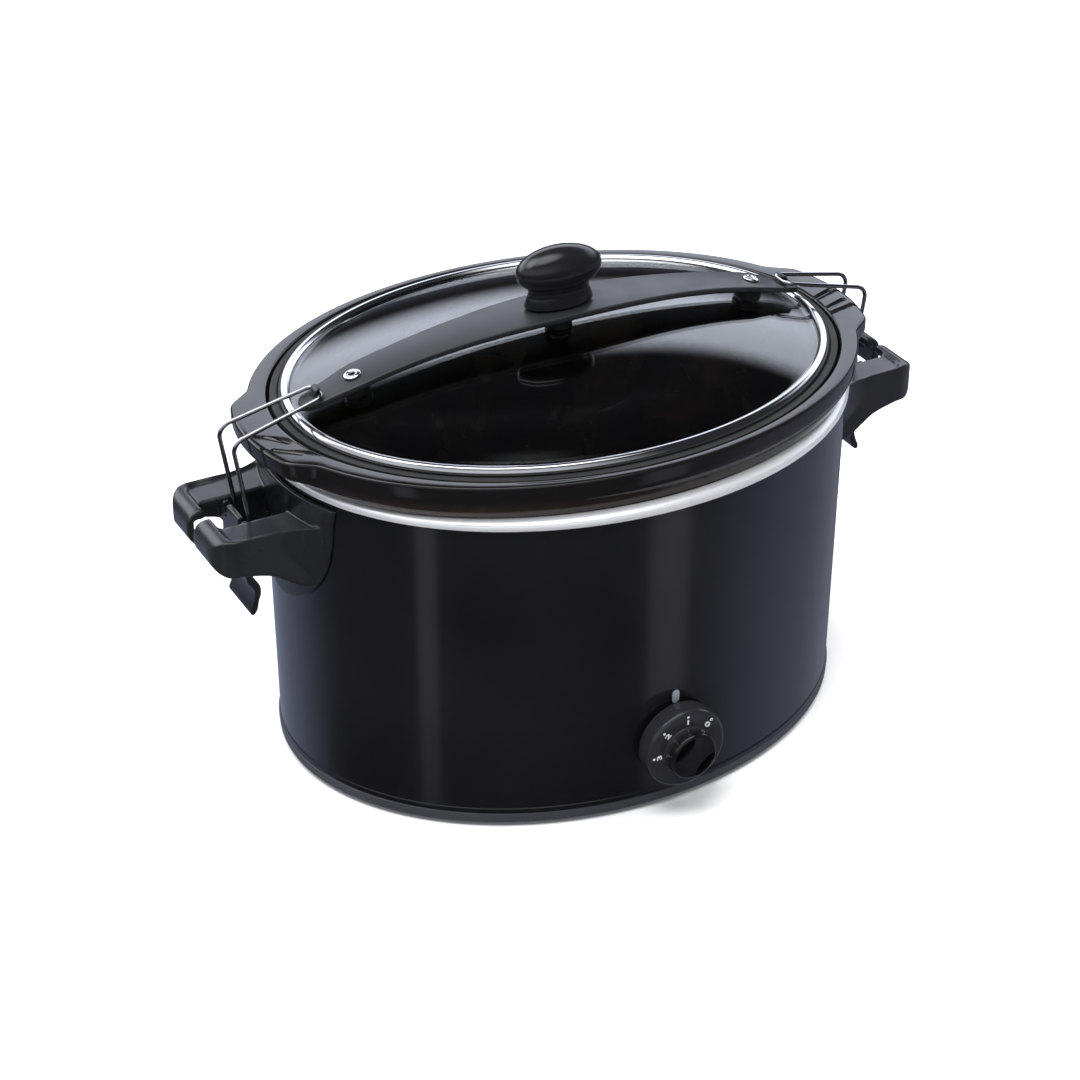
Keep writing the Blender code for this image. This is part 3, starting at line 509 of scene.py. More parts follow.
def liner():
    """Spun aluminium well whose lip shows under the crock."""
    profile = [
        (141.0, 104.5, 33.0),
        (150.0, 113.5, 38.0, 5.0),
        (156.0, 119.5, 52.0, 12.0),
        (159.0, 122.5, 70.0, 12.0),
        (164.5, 130.4, 150.0, 5.0),
        (166.6, 132.5, 199.0, 2.0),
        (167.4, 133.3, 201.0, 0.8),
        (168.6, 134.5, 201.4, 0.8),
        (172.2, 138.1, 201.1, 1.6),
        (175.5, 141.4, 199.4, 2.4),
        (176.2, 142.1, 197.0, 1.2),
        (176.0, 141.9, 196.2, 0.4),
        (174.9, 140.8, 196.2, 0.4),
        (169.0, 134.9, 199.7, 0.8),
        (167.8, 133.7, 198.6, 0.8),
        (165.7, 131.6, 150.0, 5.0),
        (160.2, 123.7, 69.7, 12.0),
        (157.2, 120.7, 51.6, 12.0),
        (151.0, 114.3, 36.8, 4.0),
        (141.4, 104.7, 31.8),
    ]
    obj = oval_loft("liner_well", rounded(profile, closed=False), closed=False)
    dress(obj, "base", "lip_aluminium", "aluminium", "heating_liner", sharp=50)


def crock():
    """Stoneware pot: a flat rim with a lifting tab and two grooves at each end, and a collar below it."""
    (rim_a, rim_b), (rec_a, rec_b), (mouth_a, mouth_b) = CROCK_RIM, RECESS, MOUTH
    # Half length, half width, height, tab weight and corner radius.
    profile = [
        (128.0, 90.0, 39.0, 0, 1),
        (140.0, 102.0, 41.0, 0, 6),
        (147.0, 109.0, 50.0, 0, 8),
        (151.0, 113.5, 72.0, 0, 10),
        (156.0, 119.0, 150.0, 0, 10),
        (mouth_a - 1.5, mouth_b - 1.0, 205.0, 0, 5),
        (mouth_a, mouth_b, 215.0, 0, 2),
        (mouth_a + 1.5, mouth_b + 1.5, 216.5, 0, 1.2),
        (rec_a - 0.8, rec_b - 0.8, 216.5, 0, 1.2),
        (rec_a + 0.3, rec_b + 0.3, CROCK_TOP, 0, 1.3),
        (rim_a, rim_b, CROCK_TOP, 1.0, 2.2),
        (rim_a, rim_b, 212.2, 1.0, 2.6),
        (rim_a - 0.9, rim_b - 0.9, 209.8, 0.8, 2.5),
        (rim_a - 1.6, rim_b - 1.5, 207.2, 0.3, 2.5),
        (179.0, 135.2, 204.4, 0, 1.5),
        (176.9, 134.4, 201.8, 0, 1.2),
        (163.8, 127.5, 201.8, 0, 2),
        (161.5, 124.6, 150.0, 0, 8),
        (156.8, 119.4, 72.0, 0, 10),
        (152.5, 115.0, 48.0, 0, 8),
        (144.0, 106.0, 36.0, 0, 6),
        (128.0, 90.0, 33.4, 0, 1),
    ]
    corner = [math.asin((TAB_HALF + y) / rim_b) for y in (-TAB_FADE / 2, TAB_FADE / 2)]
    outline = rounded(profile, steps=5, closed=False, width=4)
    obj = oval_loft("crock_pot", outline, closed=False, dense=[corner])
    for x, y, angle in ((179.5, 0, 21), (179.5, -14.5, 19), (-179.5, -12, 127), (-179.5, -27, 137)):
        cut(obj, groove(x, y, angle))
    dress(baked(obj), "crock", "glaze", "glazed_stoneware", "crock", sharp=40)


def groove(x, y, angle):
    """A shallow scoop with round ends."""
    radius, straight_half, above_rim = 2.6, 7.4, 1.35
    turns = np.radians(np.linspace(0, 90, 7))
    profile = [(radius * math.sin(t), straight_half + radius * math.cos(t)) for t in turns]
    profile += [(r, -z) for r, z in reversed(profile)]
    turn = Matrix.Rotation(math.radians(angle), 4, "Z") @ Matrix.Rotation(math.pi / 2, 4, "Y")
    return turned("groove", profile, 24, at(x, y, CROCK_TOP + above_rim) @ turn)


def gland():
    """The bush at the back where a mains lead would leave."""
    profile = [(7.6, 140.7), (9.0, 139.5), (9.0, 137.9), (5.9, 137.9), (5.9, 135.3), (7.6, 134.9)]
    profile += [(7.0, 131.2), (3.5, 131.2), (3.5, 140.7)]
    obj = turned("cord_bush", rounded(profile, 0.5, 3), 48, at(0, 0, GLAND_Z, "rear"), closed=True)
    dress(obj, "base", "rubber", "dark_plastic", "cord_gland", sharp=50)


def feet():
    """A rubber foot at each of the CAD's four places."""
    for index in range(1, 5):
        low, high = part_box(f"foot_{index}")
        x, y = (low.x + high.x) / 2 / MM, ((low.y + high.y) / 2 - AXIS_Y) / MM
        profile = [(0, 4.3), (2.3, 4.3), (2.3, 1.65), (7.0, 1.65), (7.0, 0.5), (6.5, 0), (0, 0)]
        obj = turned(f"rubber_foot_{index}", rounded(profile, 0.4, 3, closed=False), 40, at(x, y, 0))
        dress(obj, "base", "rubber", "black_rubber", f"foot_{index}", sharp=50)


# ---------------------------------------------------------------- lid

def lid_rim():
    """The rolled steel bead round the glass, and the rubber seal under it."""
    a, b = RING
    bead = [
        (-0.9, 219.6, 0.5),
        (0.0, 222.4, 1.6),
        (-1.8, 225.4, 1.6),
        (-4.6, 225.7, 1.4),
        (-6.8, 224.2, 0.5),
        (-1.3, 224.2, 0.2),
        (-1.3, 220.5, 0.2),
        (-6.6, 220.5, 0.2),
        (-6.6, 219.6, 0.3),
    ]
    obj = oval_loft("lid_bead", rounded([(a + d, b + d, z, r) for d, z, r in bead], steps=5, width=3))
    dress(obj, "lid", "ring_steel", "polished_steel", "lid_ring", sharp=50)
    seal = [(-7.5, 216.9), (4.3, 216.9), (4.6, 221.2), (0.5, 221.2), (0.4, 219.2), (-7.5, 219.2)]
    obj = oval_loft("lid_seal", rounded([(a + d, b + d, z) for d, z in seal], 0.5, 3))
    dress(obj, "lid", "rubber", "black_rubber", "lid_gasket", sharp=50)


def glass_top(rho):
    """Height of the glass's upper face, where rho is 0 in the middle and 1 at the edge."""
    return GLASS_EDGE_Z + GLASS_RISE * (1 - rho ** 2.4)


def glass_pane():
    """The dome, with a thin edge that the bead holds and a way through it for each rivet."""
    inset, hole = 7.0, 4.5
    a, b = RING[0] - inset, RING[1] - inset
    steps = [0.97, 0.94, 0.9, 0.85, 0.79, 0.72, 0.65, 0.57, 0.49, 0.41, 0.33, 0.25, 0.17, 0.1]
    top = [(a * r, b * r, glass_top(r)) for r in steps] + [(hole, hole, glass_top(0))]
    under = [(x, y, z - GLASS_THICK) for x, y, z in reversed(top)]
    edge = [(a + grow, b + grow, z) for grow, z in ((0.2, 220.9), (5.2, 220.9), (5.2, 223.8), (0.2, 223.9))]
    obj = oval_loft("glass_dome", top + under + edge)
    for side in (-1, 1):
        cut(obj, drill(4.5, -20, 5, rivet_place(side)))
    dress(baked(obj), "lid", "clear_glass", "lid_glass", "lid_glass", sharp=35)


def strap_top(x):
    """Height of the strap's upper face, a shallow bow that bends down to its hooks."""
    x = abs(x)
    out = x / RIVET_X
    bow = STRAP_MIDDLE - 13.0 * out ** 2 - 1.5 * out ** 4
    if x < CROSSBAR[0]:
        return bow - 0.04 * max(0.0, x - RIVET_X)
    return strap_top(CROSSBAR[0] - 0.001) - 0.26 * (x - CROSSBAR[0])


def strap_half(x):
    """Half width of the strap, a leaf with rounded ends."""
    x = abs(x)
    leaf = 12.0 + 6.0 * math.exp(-((x / 75) ** 2)) if x < RIVET_X else 12.3 - 5.0 * (x - RIVET_X) / 27
    return leaf if x < 155 else leaf * math.sqrt(max(0.03, 1 - ((x - 155) / 5.0) ** 2))


def rivet_place(side):
    """On the strap's upper face, with local +Z along the rivet, which leans outwards."""
    return at(side * RIVET_X, 0, strap_top(RIVET_X), (0, side * RIVET_TILT, 0))


def strap_section(x):
    """Points round the strap at x: a gently crowned top and eased edges."""
    half, top = strap_half(x), strap_top(x)
    low = top - STRAP_THICK
    ease = min(1.1, half * 0.5)
    right = [(half, top), (half, low)]
    left = [(-half, low), (-half, top)]
    ring = rounded(right + left, ease)
    return [(x, y, z) for y, z in ring]


def ribbon(name, path, half, thick):
    """A flat strip of a given half width that follows a path of (x, z)."""
    rings = []
    for i, (x, z) in enumerate(path):
        before, after = path[max(0, i - 1)], path[min(len(path) - 1, i + 1)]
        along = Vector((after[0] - before[0], after[1] - before[1])).normalized()
        normal = (-along.y, along.x)
        fade = 1.0 if i < len(path) - 3 else (0.9, 0.72, 0.42)[i - len(path) + 3]
        wide, tall = half * fade, thick / 2
        ring = rounded([(wide, tall), (wide, -tall), (-wide, -tall), (-wide, tall)], 0.45, 3)
        rings.append([(x + n * normal[0], y, z + n * normal[1]) for y, n in ring])
    return loft(name, rings)


def strap():
    """The bar over the lid, with a hook at each end that curls round the bail's crossbar."""
    stations = np.concatenate([np.linspace(0, 150, 76), np.linspace(151, 159.6, 18)])
    xs = [-x for x in reversed(stations[1:])] + list(stations)
    obj = loft("lid_bar", [strap_section(x) for x in xs])
    x, z = CROSSBAR
    for side in (-1, 1):
        cut(obj, drill(3.15, -8, 6, rivet_place(side)))
        curl = arc(x, z, WIRE + 1.2, -30, 118, 16)
        path = [(x + 3.4, z - 5.4), (x + 2.9, z - 3.6)] + curl
        join(obj, ribbon("hook", mirrored(path, side), 3.4, 1.3))
    dress(baked(obj), "lid", "strap_plastic", "satin_black", "lid_strap", sharp=40)


def eyelets():
    """Hollow rivets with rolled heads, and the rubber spools under them."""
    head = [(3.6, 1.7), (4.9, 1.2), (5.1, 0.4), (2.8, 0.35), (2.8, -18.8), (5.2, -18.8), (5.2, -19.6)]
    head += [(1.8, -19.6), (1.8, 1.0), (2.5, 1.7)]
    spool = [(5.0, -4.3), (7.6, -4.95), (8.0, -5.6), (8.0, -10.6), (4.1, -10.6), (4.1, -14.9)]
    spool += [(8.0, -14.9), (8.0, -18.4), (3.15, -18.4), (3.15, -4.3)]
    for label, side in (("left", -1), ("right", 1)):
        obj = turned(f"eyelet_{label}", rounded(head, 0.5, 4), 48, rivet_place(side), closed=True)
        dress(obj, "lid", "rivet_steel", "polished_steel", f"strap_rivet_{label}", sharp=50)
        obj = turned(f"spool_{label}", rounded(spool, 0.6, 4), 48, rivet_place(side), closed=True)
        dress(obj, "lid", "rubber", "black_rubber", f"strap_grommet_{label}", sharp=50)


def knob():
    """Oval knob: flared foot, waist, and a wide belly with a moulding seam above its middle."""
    long, wide, middle = 26.4, 13.9, 278.7
    below = np.radians(np.linspace(-32, 3, 16))
    above = np.radians(np.linspace(4.5, 89, 30))
    foot = [(19.6, 10.4, 257.2), (21.0, 11.3, 258.2), (21.1, 11.4, 259.2)]
    foot += [(20.0, 10.6, 262.6), (18.9, 9.8, 265.4), (19.0, 9.8, 268.0), (20.2, 10.6, 269.9)]
    belly = [(long * math.cos(t), wide * math.cos(t), middle + 13.8 * math.sin(t)) for t in below]
    seam = [(long - 0.45, wide - 0.45, middle + 0.75), (long - 0.45, wide - 0.45, middle + 0.95)]
    dome = [(long * math.cos(t), wide * math.cos(t), middle + 12.9 * math.sin(t)) for t in above]
    angles = np.linspace(0, 2 * math.pi, 128, endpoint=False)
    rings = []
    for a, b, z in spline(foot + belly[:3])[:-2] + belly[3:] + seam + dome:
        rings.append([(a * math.cos(t), b * math.sin(t), z) for t in angles])
    obj = loft("lid_knob", rings)
    cut(obj, drill(2.7, 250, 272))
    dress(baked(obj), "lid", "knob_plastic", "satin_black", "knob", sharp=60)


# ---------------------------------------------------------------- handles and latches

def shield_half(z):
    """Half width of the handle's root where it meets the housing."""
    if z >= SHIELD_MIDDLE:
        return SHIELD_HALF + 0.0137 * (z - SHIELD_MIDDLE) ** 2
    depth = (SHIELD_MIDDLE - z) / (SHIELD_MIDDLE - SHIELD_LOW)
    return SHIELD_HALF * math.sqrt(max(0.0, 1 - depth ** 2))


def shield_outline(low, high, steps):
    """The root's outline, round at the bottom, from low to high."""
    turns = np.radians(np.linspace(90, 0, steps + 1))
    heights = [SHIELD_MIDDLE - (SHIELD_MIDDLE - low) * math.sin(t) for t in turns] + [high]
    right = [(shield_half(z), z) for z in heights if shield_half(z) > 0.5]
    return [(0.0, low)] + right + [(-y, z) for y, z in reversed(right)]


def plan(low, high, half, radius, count=9):
    """Plan view of a rectangle whose outer corners are rounded."""
    inner = high - radius
    outline = [(low, -half)] + arc(inner, -half + radius, radius, -90, 0, count)
    return outline + arc(inner, half - radius, radius, 0, 90, count) + [(low, half)]


def side_view(top):
    """Side view of the arms and the outer bar, rounded outside."""
    outline = [(165.0, 140.0), (178.0, 141.5), (188.0, 148.0), (197.0, 153.8), (212.0, 157.8)]
    outline = [tuple(p) for p in spline(outline, 5)]
    outline += arc(217.3, 168.3, 10.7, -75, -10, 9)
    return outline + arc(218.5, top - 9.5, 9.5, 0, 90, 12) + [(165.0, top)]


def fairing(name, side):
    """The root: it starts as the shield on the housing and narrows in a hollow curve to the arms."""
    arm_x, arm_low, steps = 193.0, 151.5, 20
    turns = np.radians(np.linspace(90, 0, 25))
    rings = []
    for t in np.linspace(0, 1, steps):
        spread = (1 - t) ** 2.4
        half = HANDLE_HALF + (SHIELD_HALF - HANDLE_HALF) * spread
        depth = SHIELD_MIDDLE - arm_low + (arm_low - SHIELD_LOW) * spread
        power = 0.45 + 0.55 * spread
        right = []
        for v in turns:
            across, down = max(0.0, math.cos(v)) ** power, math.sin(v) ** power
            right.append((half * across, SHIELD_MIDDLE - depth * down))
        right.append((half, HANDLE_TOP - 0.5))
        ring = right + [(-y, z) for y, z in reversed(right[1:])]
        rings.append([(side * ((wall_x(y, z) - 1.5) * (1 - t) + arm_x * t), y, z) for y, z in ring])
    return loft(name, rings)


def flange(side):
    """The thin plate that hugs the housing behind the handle."""
    heights = (SHIELD_LOW - 2, HOUSING_HIGH[2] - 2)
    thick = 3.2
    skins = [(*wall_oval(z, thick), z) for z in heights]
    skins += [(*wall_oval(z, WALL_GAP), z) for z in reversed(heights)]
    plate = oval_loft("plate", skins)
    low, high = sorted((side * 120, side * 190))
    area = extruded("area", shield_outline(SHIELD_LOW, HOUSING_HIGH[2] - 3, 40), low, high, "YZ")
    return combine(plate, area, "INTERSECT")


def tray(grow):
    """Plan view of the shallow tray, which widens towards the housing."""
    outer = OPENING[1] + grow * 0.6
    half = 34.3 + grow
    right = [(150, half + 11), (168, half + 6.6), (184, half + 2.2), (200, half + 0.4), (outer, half, 10)]
    return rounded([*right, *[(p[0], -p[1], *p[2:]) for p in reversed(right)]], 6, 8, width=2)


def notch():
    """Section of the gap in the outer bar, with rounded lips at the top."""
    lip, top = 3.4, HANDLE_TOP
    right = [(NOTCH_HALF, 100)] + arc(NOTCH_HALF + lip, top - lip, lip, 180, 90, 8)
    right.append((NOTCH_HALF + lip, 200))
    return right + [(-y, z) for y, z in reversed(right)]


def handle(side, label):
    """Side handle: a shallow tray with a raised rim, a window for the latch and a notch in its outer bar."""
    below, above = 100.0, 200.0
    obj = extruded(f"grip_{label}", mirrored(side_view(HANDLE_TOP), side), -HANDLE_HALF, HANDLE_HALF)
    outline = mirrored(plan(160, HANDLE_END, HANDLE_HALF, 15, 14), side)
    combine(obj, extruded("plan", outline, below, above, "XY"), "INTERSECT")
    join(obj, fairing("root", side))
    for grow, floor_z in ((0, HANDLE_TOP - 2.2), (0.9, HANDLE_TOP - 1.1), (1.7, HANDLE_TOP - 0.45)):
        cut(obj, extruded("tray", mirrored(tray(grow), side), floor_z, above, "XY"))
    low, high, half = OPENING
    cut(obj, extruded("window", mirrored(plan(low, high, half, 4), side), below, above, "XY"))
    inner, outer, wide, ceiling = HOLLOW
    cut(obj, extruded("hollow", mirrored(plan(inner, outer, wide, 11.5), side), below, ceiling, "XY"))
    near, far = sorted((side * (high - 6), side * 240))
    cut(obj, extruded("gap", notch(), near, far, "YZ"))
    pin_x, pin_z = LEVER_PIN
    cut(obj, drill(1.9, -20, 20, at(side * pin_x, 0, pin_z, "front"), 24))
    clear = [(*wall_oval(z, WALL_GAP), z) for z in (below, HOUSING_HIGH[2])]
    cut(obj, oval_loft("wall", clear, closed=False))
    join(obj, flange(side))
    dress(moulded(obj, voxel=0.7, rounds=12), "base", "handle_plastic", "dark_plastic", f"{label}_handle")


def lever(side, label):
    """Latch lever: a tall plate with two slots for the bail's feet, two cheeks on its pin, and an S tail."""
    x, z = LEVER_PIN
    plate = [(199.8, 142.5), (203.2, 142.5), (203.7, 160.0), (203.0, 176.4), (202.2, 177.0), (199.8, 177.0)]
    outer = [(203.2, 144.0), (202.6, 139.5), (199.4, 134.8), (198.7, 131.5), (199.6, 126.5), (202.0, 120.6)]
    inner = [(197.6, 121.0), (196.4, 126.5), (195.0, 131.0), (195.4, 136.0), (198.4, 141.0), (199.6, 144.0)]
    tail = [tuple(p) for p in spline(outer, 6)] + [(201.9, 118.9), (201.0, 118.0), (199.6, 118.2)]
    tail += [tuple(p) for p in spline(inner, 6)]
    obj = extruded(f"latch_{label}", mirrored(plate, side), -LEVER_HALF, LEVER_HALF)
    join(obj, extruded("tail", mirrored(tail, side), -TAIL_HALF, TAIL_HALF))
    cheek = arc(x, z, 4.6, 100, 280, 20) + [(200.6, 144.0), (200.6, 164.0)]
    for low, high in ((-LEVER_HALF, -12.4), (12.4, LEVER_HALF)):
        join(obj, extruded("cheek", mirrored(cheek, side), low, high))
    for y in (-BAIL_HALF, BAIL_HALF):
        near, far = sorted((side * 198, side * 206))
        cut(obj, block("slot", (near, y - 1.95, 170), (far, y + 1.95, 180)))
    cut(obj, drill(1.85, -20, 20, at(side * x, 0, z, "front"), 24))
    soft = moulded(obj, voxel=0.45, rounds=3)
    dress(soft, f"latch_{label}", "handle_plastic", "dark_plastic", f"latch_lever_{label}")


def bail_path():
    """Centre line of one leg, from its foot to the middle of the crossbar."""
    (foot_x, foot_z), (far_x, far_z), (bar_x, bar_z) = BAIL_FOOT, BAIL_SHOULDER, CROSSBAR
    radius, drop, corner = 8.0, 7.5, 4.5
    bend = arc(far_x - radius, far_z - drop, radius, 2, 78, 14)
    shoulder_x, shoulder_z = bend[-1]
    slope = (shoulder_z - bar_z) / (shoulder_x - bar_x)
    upright = [(foot_x, foot_z), ((foot_x + far_x) / 2, (foot_z + far_z - drop) / 2)]
    leg = [(x, BAIL_HALF, z) for x, z in upright + bend]
    for x, y in arc(bar_x + corner, CROSSBAR_HALF - corner, corner, 90, 180, 12):
        leg.append((x, y, bar_z + slope * (x - bar_x)))
    return leg


def bail(side, label):
    """Wire bail: two legs and the crossbar that hangs in the strap's hook."""
    half = bail_path()
    route = half + [(x, -y, z) for x, y, z in reversed(half)]
    curve = bpy.data.curves.new(f"wire_{label}", "CURVE")
    curve.dimensions = "3D"
    curve.bevel_depth = WIRE * MM
    curve.bevel_resolution = 6
    curve.use_fill_caps = True
    # The points run up one leg, across the crossbar and down the other.
    line = curve.splines.new("POLY")
    line.points.add(len(route) - 1)
    for point, (x, y, z) in zip(line.points, route):
        point.co = (side * x * MM, y * MM, z * MM, 1)
    line.use_smooth = True
    obj = bpy.data.objects.new(f"wire_{label}", curve)
    bpy.context.scene.collection.objects.link(obj)
    dress(obj, f"bail_{label}", "wire_chrome", "chrome_wire", f"bail_{label}")


# ---------------------------------------------------------------- dial

def dial():
    """Round dial: a skirt with a chamfered face, and a boss with a grip bar between two scoops."""
    profile = [
        (0.05, 21.2),
        (12.9, 21.2, 0.8),
        (14.3, 20.2, 1.2),
        (14.6, 16.0, 1.5),
        (14.9, DIAL_FACE, 0.7),
        (22.9, DIAL_FACE, 0.6),
        (24.2, 11.3, 0.8),
        (DIAL_RADIUS, 9.6, 1.2),
        (24.6, 0, 0.5),
        (23.4, 0, 0.4),
        (22.9, 8.0, 0.6),
        (7.4, 8.4, 0.5),
        (6.6, 8.0, 0.3),
        (6.6, 2.2, 0.4),
        (3.35, 2.2, 0.2),
        (3.35, 12.0, 0.2),
        (0.05, 12.0),
    ]
    place = at(0, -DIAL_BACK, DIAL_Z, "front")
    obj = turned("dial_cap", rounded(profile, 0.4, 5, closed=False), 128, place)
    for side in (-1, 1):
        cut(obj, scoop(side))
    dress(baked(obj), "dial", "dial_plastic", "gloss_black", "dial_knob", sharp=45)


def scoop(side):
    """One of the two hollows beside the grip bar, which leans 45 degrees at rest."""
    long, deep, narrow = 8.4, 7.0, 0.369
    beside, out = 9.4, 21.6
    half = [(long * math.sin(t), deep * math.cos(t)) for t in np.radians(np.linspace(0, 180, 41))]
    place = at(0, -DIAL_BACK - out, DIAL_Z) @ Matrix.Rotation(math.radians(45), 4, "Y")
    narrowed = Matrix.Translation((side * beside, 0, 0)) @ Matrix.Diagonal((narrow, 1, 1, 1))
    return turned("scoop", half, 64, place @ narrowed @ at(0, 0, 0, "front"))


def on_face(angle, radius, lift=0.0):
    """A place on the dial's face, clockwise from the top, facing out with up away from the centre."""
    middle = Matrix.Translation((0, -DIAL_BACK - DIAL_FACE, DIAL_Z))
    turn = Matrix.Rotation(math.radians(angle), 4, "Y")
    out = Matrix.Translation((0, -lift, radius))
    return middle @ turn @ out @ Matrix.Rotation(math.pi / 2, 4, "X")


def figure(name, text, size, place):
    """A figure as high as thick ink, turned into a mesh."""
    thick, spread = 0.05, 0.09
    curve = bpy.data.curves.new(name, "FONT")
    curve.body = text
    curve.size = size * MM
    curve.align_x = curve.align_y = "CENTER"
    curve.extrude = thick * MM
    curve.offset = spread * MM
    holder = bpy.data.objects.new(name + "_text", curve)
    bpy.context.scene.collection.objects.link(holder)
    bpy.context.view_layer.update()
    mesh = bpy.data.meshes.new_from_object(holder.evaluated_get(bpy.context.evaluated_depsgraph_get()))
    bpy.data.objects.remove(holder, do_unlink=True)
    mesh.transform(Matrix.Translation(place.translation * MM) @ place.to_3x3().to_4x4())
    obj = bpy.data.objects.new(name, mesh)
    bpy.context.scene.collection.objects.link(obj)
    return obj


def dial_marks():
    """A dot and a number at each of the four settings. The off dot is a ring."""
    dot_at, number_at, tall = 21.5, 17.9, 4.2
    for angle, number in ((-90, "3"), (-45, "2"), (0, "1"), (45, "0")):
        place = on_face(angle, dot_at)
        off = number == "0"
        if off:
            profile = [(0.9, 0.06), (0.9, -0.05), (0.5, -0.05), (0.5, 0.06)]
        else:
            profile = [(0.02, 0.06), (0.75, 0.06), (0.75, -0.05), (0.02, -0.05)]
        dot = turned(f"dial_dot_{number}", profile, 32, place, closed=off)
        dress(dot, "dial", "print", "gloss_black", sharp=30)
        widened = on_face(angle, number_at, 0.02) @ Matrix.Diagonal((1.8, 1, 1, 1))
        digit = figure(f"dial_number_{number}", number, tall, widened)
        dress(digit, "dial", "print", "gloss_black", sharp=30)


def pointer():
    """The pill-shaped mark above the dial, printed on the housing."""
    half, tall, middle = 2.3, 4.3, 72.4
    outline = arc(0, middle + tall - half, half, 0, 180, 17)
    outline += arc(0, middle - tall + half, half, 180, 360, 17)
    rings = [[(u, -(wall_oval(v)[1] + lift), v) for u, v in outline] for lift in (-0.05, 0.08)]
    dress(loft("pointer_mark", rings), "base", "pointer_print", "grey_plastic", sharp=40)


# ---------------------------------------------------------------- CAD nodes that stay

CARRIED = {
    "zinc": ["thermal_fuse", "centre_post", "base_screw", "switch_nut", "handle_screw_1", "handle_screw_2",
             "handle_screw_3", "handle_screw_4", "latch_pin_left", "latch_pin_right", "knob_screw",
             "dial_shaft"],
    "pan_zinc": ["base_pan"],
    "heater_steel": ["heater_band"],
    "switch_plastic": ["rotary_switch"],
    "cream_plastic": ["terminal_block"],
    "rubber": ["knob_seal"],
}


def carry_over():
    """Finishes for the CAD nodes whose shape is already right."""
    for mat, nodes in CARRIED.items():
        for node in nodes:
            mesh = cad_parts[node].data
            mesh.materials.clear()
            mesh.materials.append(MATERIALS[mat])


# ---------------------------------------------------------------- studio

CAMERA_AT = Vector((-0.6441, -1.1733 + AXIS_Y, 0.9056))
CAMERA_TO = Vector((-0.0118, AXIS_Y, 0.1046))
LENS = 87.86


def camera():
    """The main viewpoint, above the front left."""
    data = bpy.data.cameras.new("camera")
    data.lens = LENS
    data.sensor_width = 36.0
    data.clip_start, data.clip_end = 0.05, 60.0
    obj = bpy.data.objects.new("camera", data)
    obj.location = CAMERA_AT
    obj.rotation_euler = (CAMERA_TO - CAMERA_AT).to_track_quat("-Z", "Y").to_euler()
    bpy.context.scene.collection.objects.link(obj)
    bpy.context.scene.camera = obj


def softbox(name, place, target, size, energy):
    """A rectangular light, kept out of reflections: the sky's panels are what the gloss shows."""
    data = bpy.data.lights.new(name, "AREA")
    data.shape = "RECTANGLE"
    data.size, data.size_y = size
    data.energy = energy
    obj = bpy.data.objects.new(name, data)
    obj.location = place
    obj.rotation_euler = (Vector(target) - Vector(place)).to_track_quat("-Z", "Y").to_euler()
    bpy.context.scene.collection.objects.link(obj)
    obj.visible_glossy = False
    obj.visible_transmission = False


def floor():
    """Plain pale floor, kept out of the object's own reflections."""
    reach = 9000.0
    corners = [(-reach, -reach, 0), (reach, -reach, 0), (reach, reach, 0), (-reach, reach, 0)]
    obj = mesh_object("studio_floor", corners, [(0, 1, 2, 3)])
    made = Finish("floor_paper", (0.9, 0.9, 0.9), Roughness=0.9)
    made.colour(made.noise(3, 3), (0.90, 0.90, 0.90), (0.92, 0.92, 0.92))
    made.bump(made.noise(300, 3), 0.05)
    made.shader.inputs["Emission Color"].default_value = (1, 1, 1, 1)
    made.shader.inputs["Emission Strength"].default_value = 0.04
    obj.data.materials.append(made.mat)
    obj.visible_glossy = False


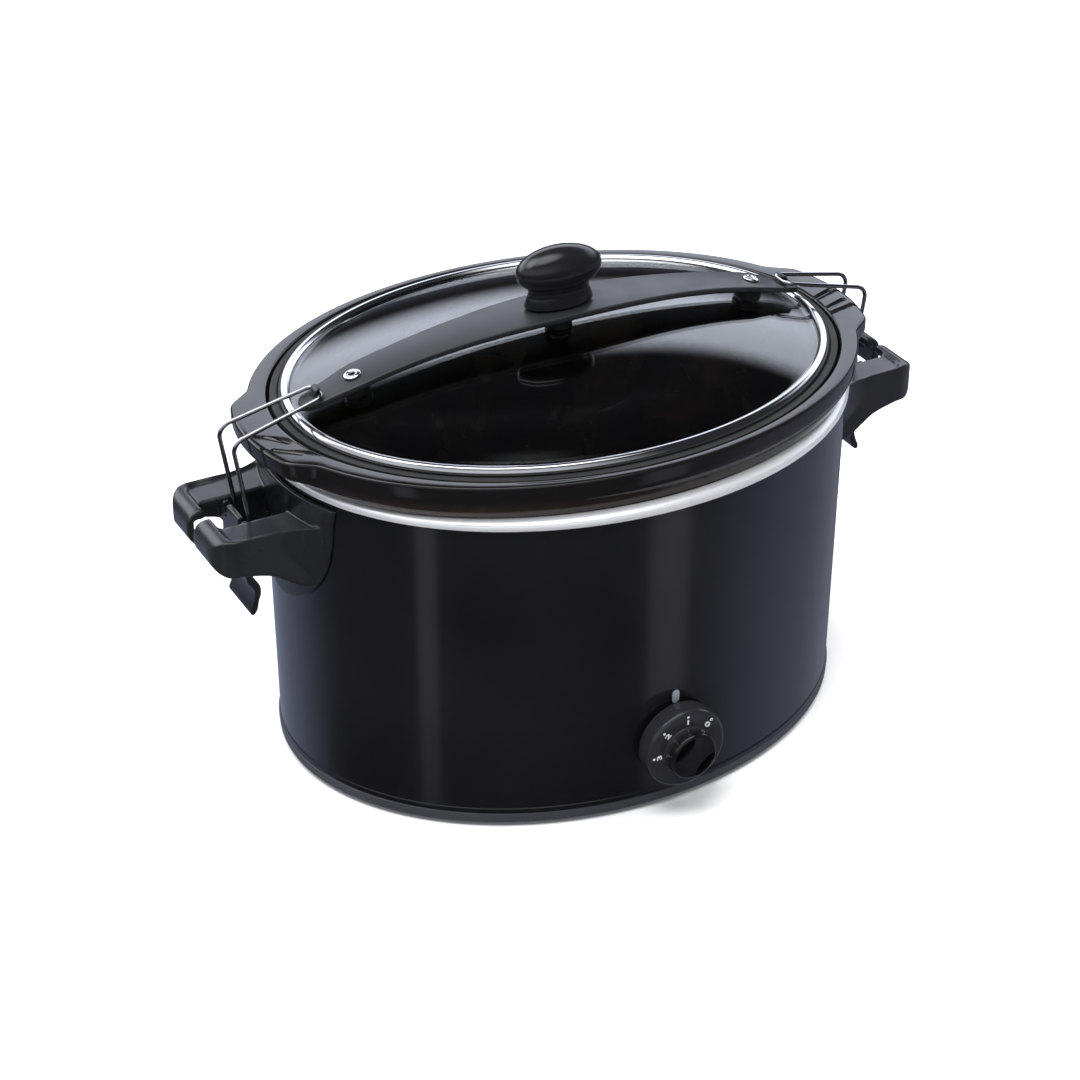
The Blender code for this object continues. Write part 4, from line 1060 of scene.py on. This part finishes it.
class Sky:
    """World light by direction: the soft panels that the glossy walls and rims reflect."""

    def __init__(self):
        world = bpy.data.worlds.new("studio")
        bpy.context.scene.world = world
        world.use_nodes = True
        self.tree = world.node_tree
        coords = self.tree.nodes.new("ShaderNodeTexCoord")
        self.direction = coords.outputs["Generated"]
        self.total = None

    def vector_math(self, operation, a, b):
        made = self.tree.nodes.new("ShaderNodeVectorMath")
        made.operation = operation
        self.tree.links.new(a, made.inputs[0])
        made.inputs[1].default_value = b
        return made.outputs["Value" if operation == "DOT_PRODUCT" else "Vector"]

    def ramp(self, value, start, end, low, high):
        made = self.tree.nodes.new("ShaderNodeMapRange")
        made.interpolation_type = "SMOOTHSTEP"
        self.tree.links.new(value, made.inputs["Value"])
        for socket, number in (("From Min", start), ("From Max", end), ("To Min", low), ("To Max", high)):
            made.inputs[socket].default_value = number
        return made.outputs["Result"]

    def times(self, a, b):
        made = self.tree.nodes.new("ShaderNodeVectorMath")
        made.operation = "MULTIPLY"
        for index, value in enumerate((a, b)):
            if isinstance(value, tuple):
                made.inputs[index].default_value = value
            else:
                self.tree.links.new(value, made.inputs[index])
        return made.outputs["Vector"]

    def add(self, value):
        if self.total is None:
            self.total = value
            return
        made = self.tree.nodes.new("ShaderNodeVectorMath")
        made.operation = "ADD"
        self.tree.links.new(self.total, made.inputs[0])
        self.tree.links.new(value, made.inputs[1])
        self.total = made.outputs["Vector"]

    def band(self, azimuth, inner, outer, colour, low=None, high=None):
        """Light round an azimuth: full within inner degrees and gone by outer. Heights are sines."""
        a = math.radians(azimuth)
        flat = self.vector_math("MULTIPLY", self.direction, (1, 1, 0))
        flat = self.vector_math("NORMALIZE", flat, (0, 0, 0))
        cosine = self.vector_math("DOT_PRODUCT", flat, (math.sin(a), -math.cos(a), 0))
        value = self.ramp(cosine, math.cos(math.radians(outer)), math.cos(math.radians(inner)), 0, 1)
        height = self.vector_math("DOT_PRODUCT", self.direction, (0, 0, 1))
        made = self.times(value, colour)
        if low:
            made = self.times(made, self.ramp(height, low[0], low[1], 0, 1))
        if high:
            made = self.times(made, self.ramp(height, high[0], high[1], 1, 0))
        self.add(made)

    def glow(self, colour, low, high):
        """The same all round, fading in from one height to another."""
        height = self.vector_math("DOT_PRODUCT", self.direction, (0, 0, 1))
        self.add(self.times(self.ramp(height, low, high, 0, 1), colour))

    def finish(self):
        self.tree.links.new(self.total, self.tree.nodes["Background"].inputs["Color"])


def studio():
    floor()
    sky = Sky()
    sky.glow((0.028, 0.028, 0.033), -2, -1.5)
    # Bright overhead panel, seen in the aluminium lip and on the tops of the round edges.
    sky.glow((3.2, 3.25, 3.35), 0.90, 0.985)
    # Pale wall low behind, seen in the strap, the tabs, the glass and the lid's rim.
    sky.band(146, 20, 72, (1.8, 1.9, 2.2), low=(0.1, 0.34), high=(0.50, 0.585))
    # Soft panels up on the left and in front, seen in the knob, the wires, the lip and the rounded edges.
    sky.band(-146, 14, 34, (2.3, 2.35, 2.5), low=(0.2, 0.34), high=(0.6, 0.8))
    sky.band(-70, 50, 105, (0.6, 0.62, 0.66), low=(0.1, 0.3), high=(0.6, 0.85))
    # The key light's own glow, drawn with soft edges, seen on the knob and at the left of the lip.
    sky.band(-126, 15, 60, (4.6, 4.6, 4.8), low=(0.70, 0.88), high=(0.90, 0.98))
    # Soft strips below the level of the eye, seen in the housing's wall.
    sky.band(-166, 12, 62, (0.22, 0.25, 0.36), high=(-0.3, 0.1))
    sky.band(92, 16, 62, (0.20, 0.21, 0.28), high=(-0.3, 0.1))
    sky.band(-58, 1.5, 6, (0.33, 0.33, 0.38), low=(-0.62, -0.5), high=(-0.35, -0.1))
    sky.band(27, 3, 9, (0.30, 0.30, 0.35), low=(-0.62, -0.5), high=(-0.35, -0.1))
    sky.finish()
    softbox("key", (-0.75, -0.55, 2.45), (0, 0, 0.1), (1.3, 1.0), 50)
    softbox("fill", (1.5, -0.4, 1.6), (0, 0, 0.15), (1.2, 1.6), 26)
    softbox("rear", (0.4, 1.9, 1.8), (0, 0, 0.2), (2.4, 1.2), 20)
    bpy.context.scene.view_settings.view_transform = "Standard"


# ---------------------------------------------------------------- assembly

camera()
make_materials()
housing()
base_band()
liner()
crock()
gland()
feet()
lid_rim()
glass_pane()
strap()
eyelets()
knob()
for which, end in (("left", -1), ("right", 1)):
    handle(end, which)
    lever(end, which)
    bail(end, which)
dial()
dial_marks()
pointer()
carry_over()
studio()
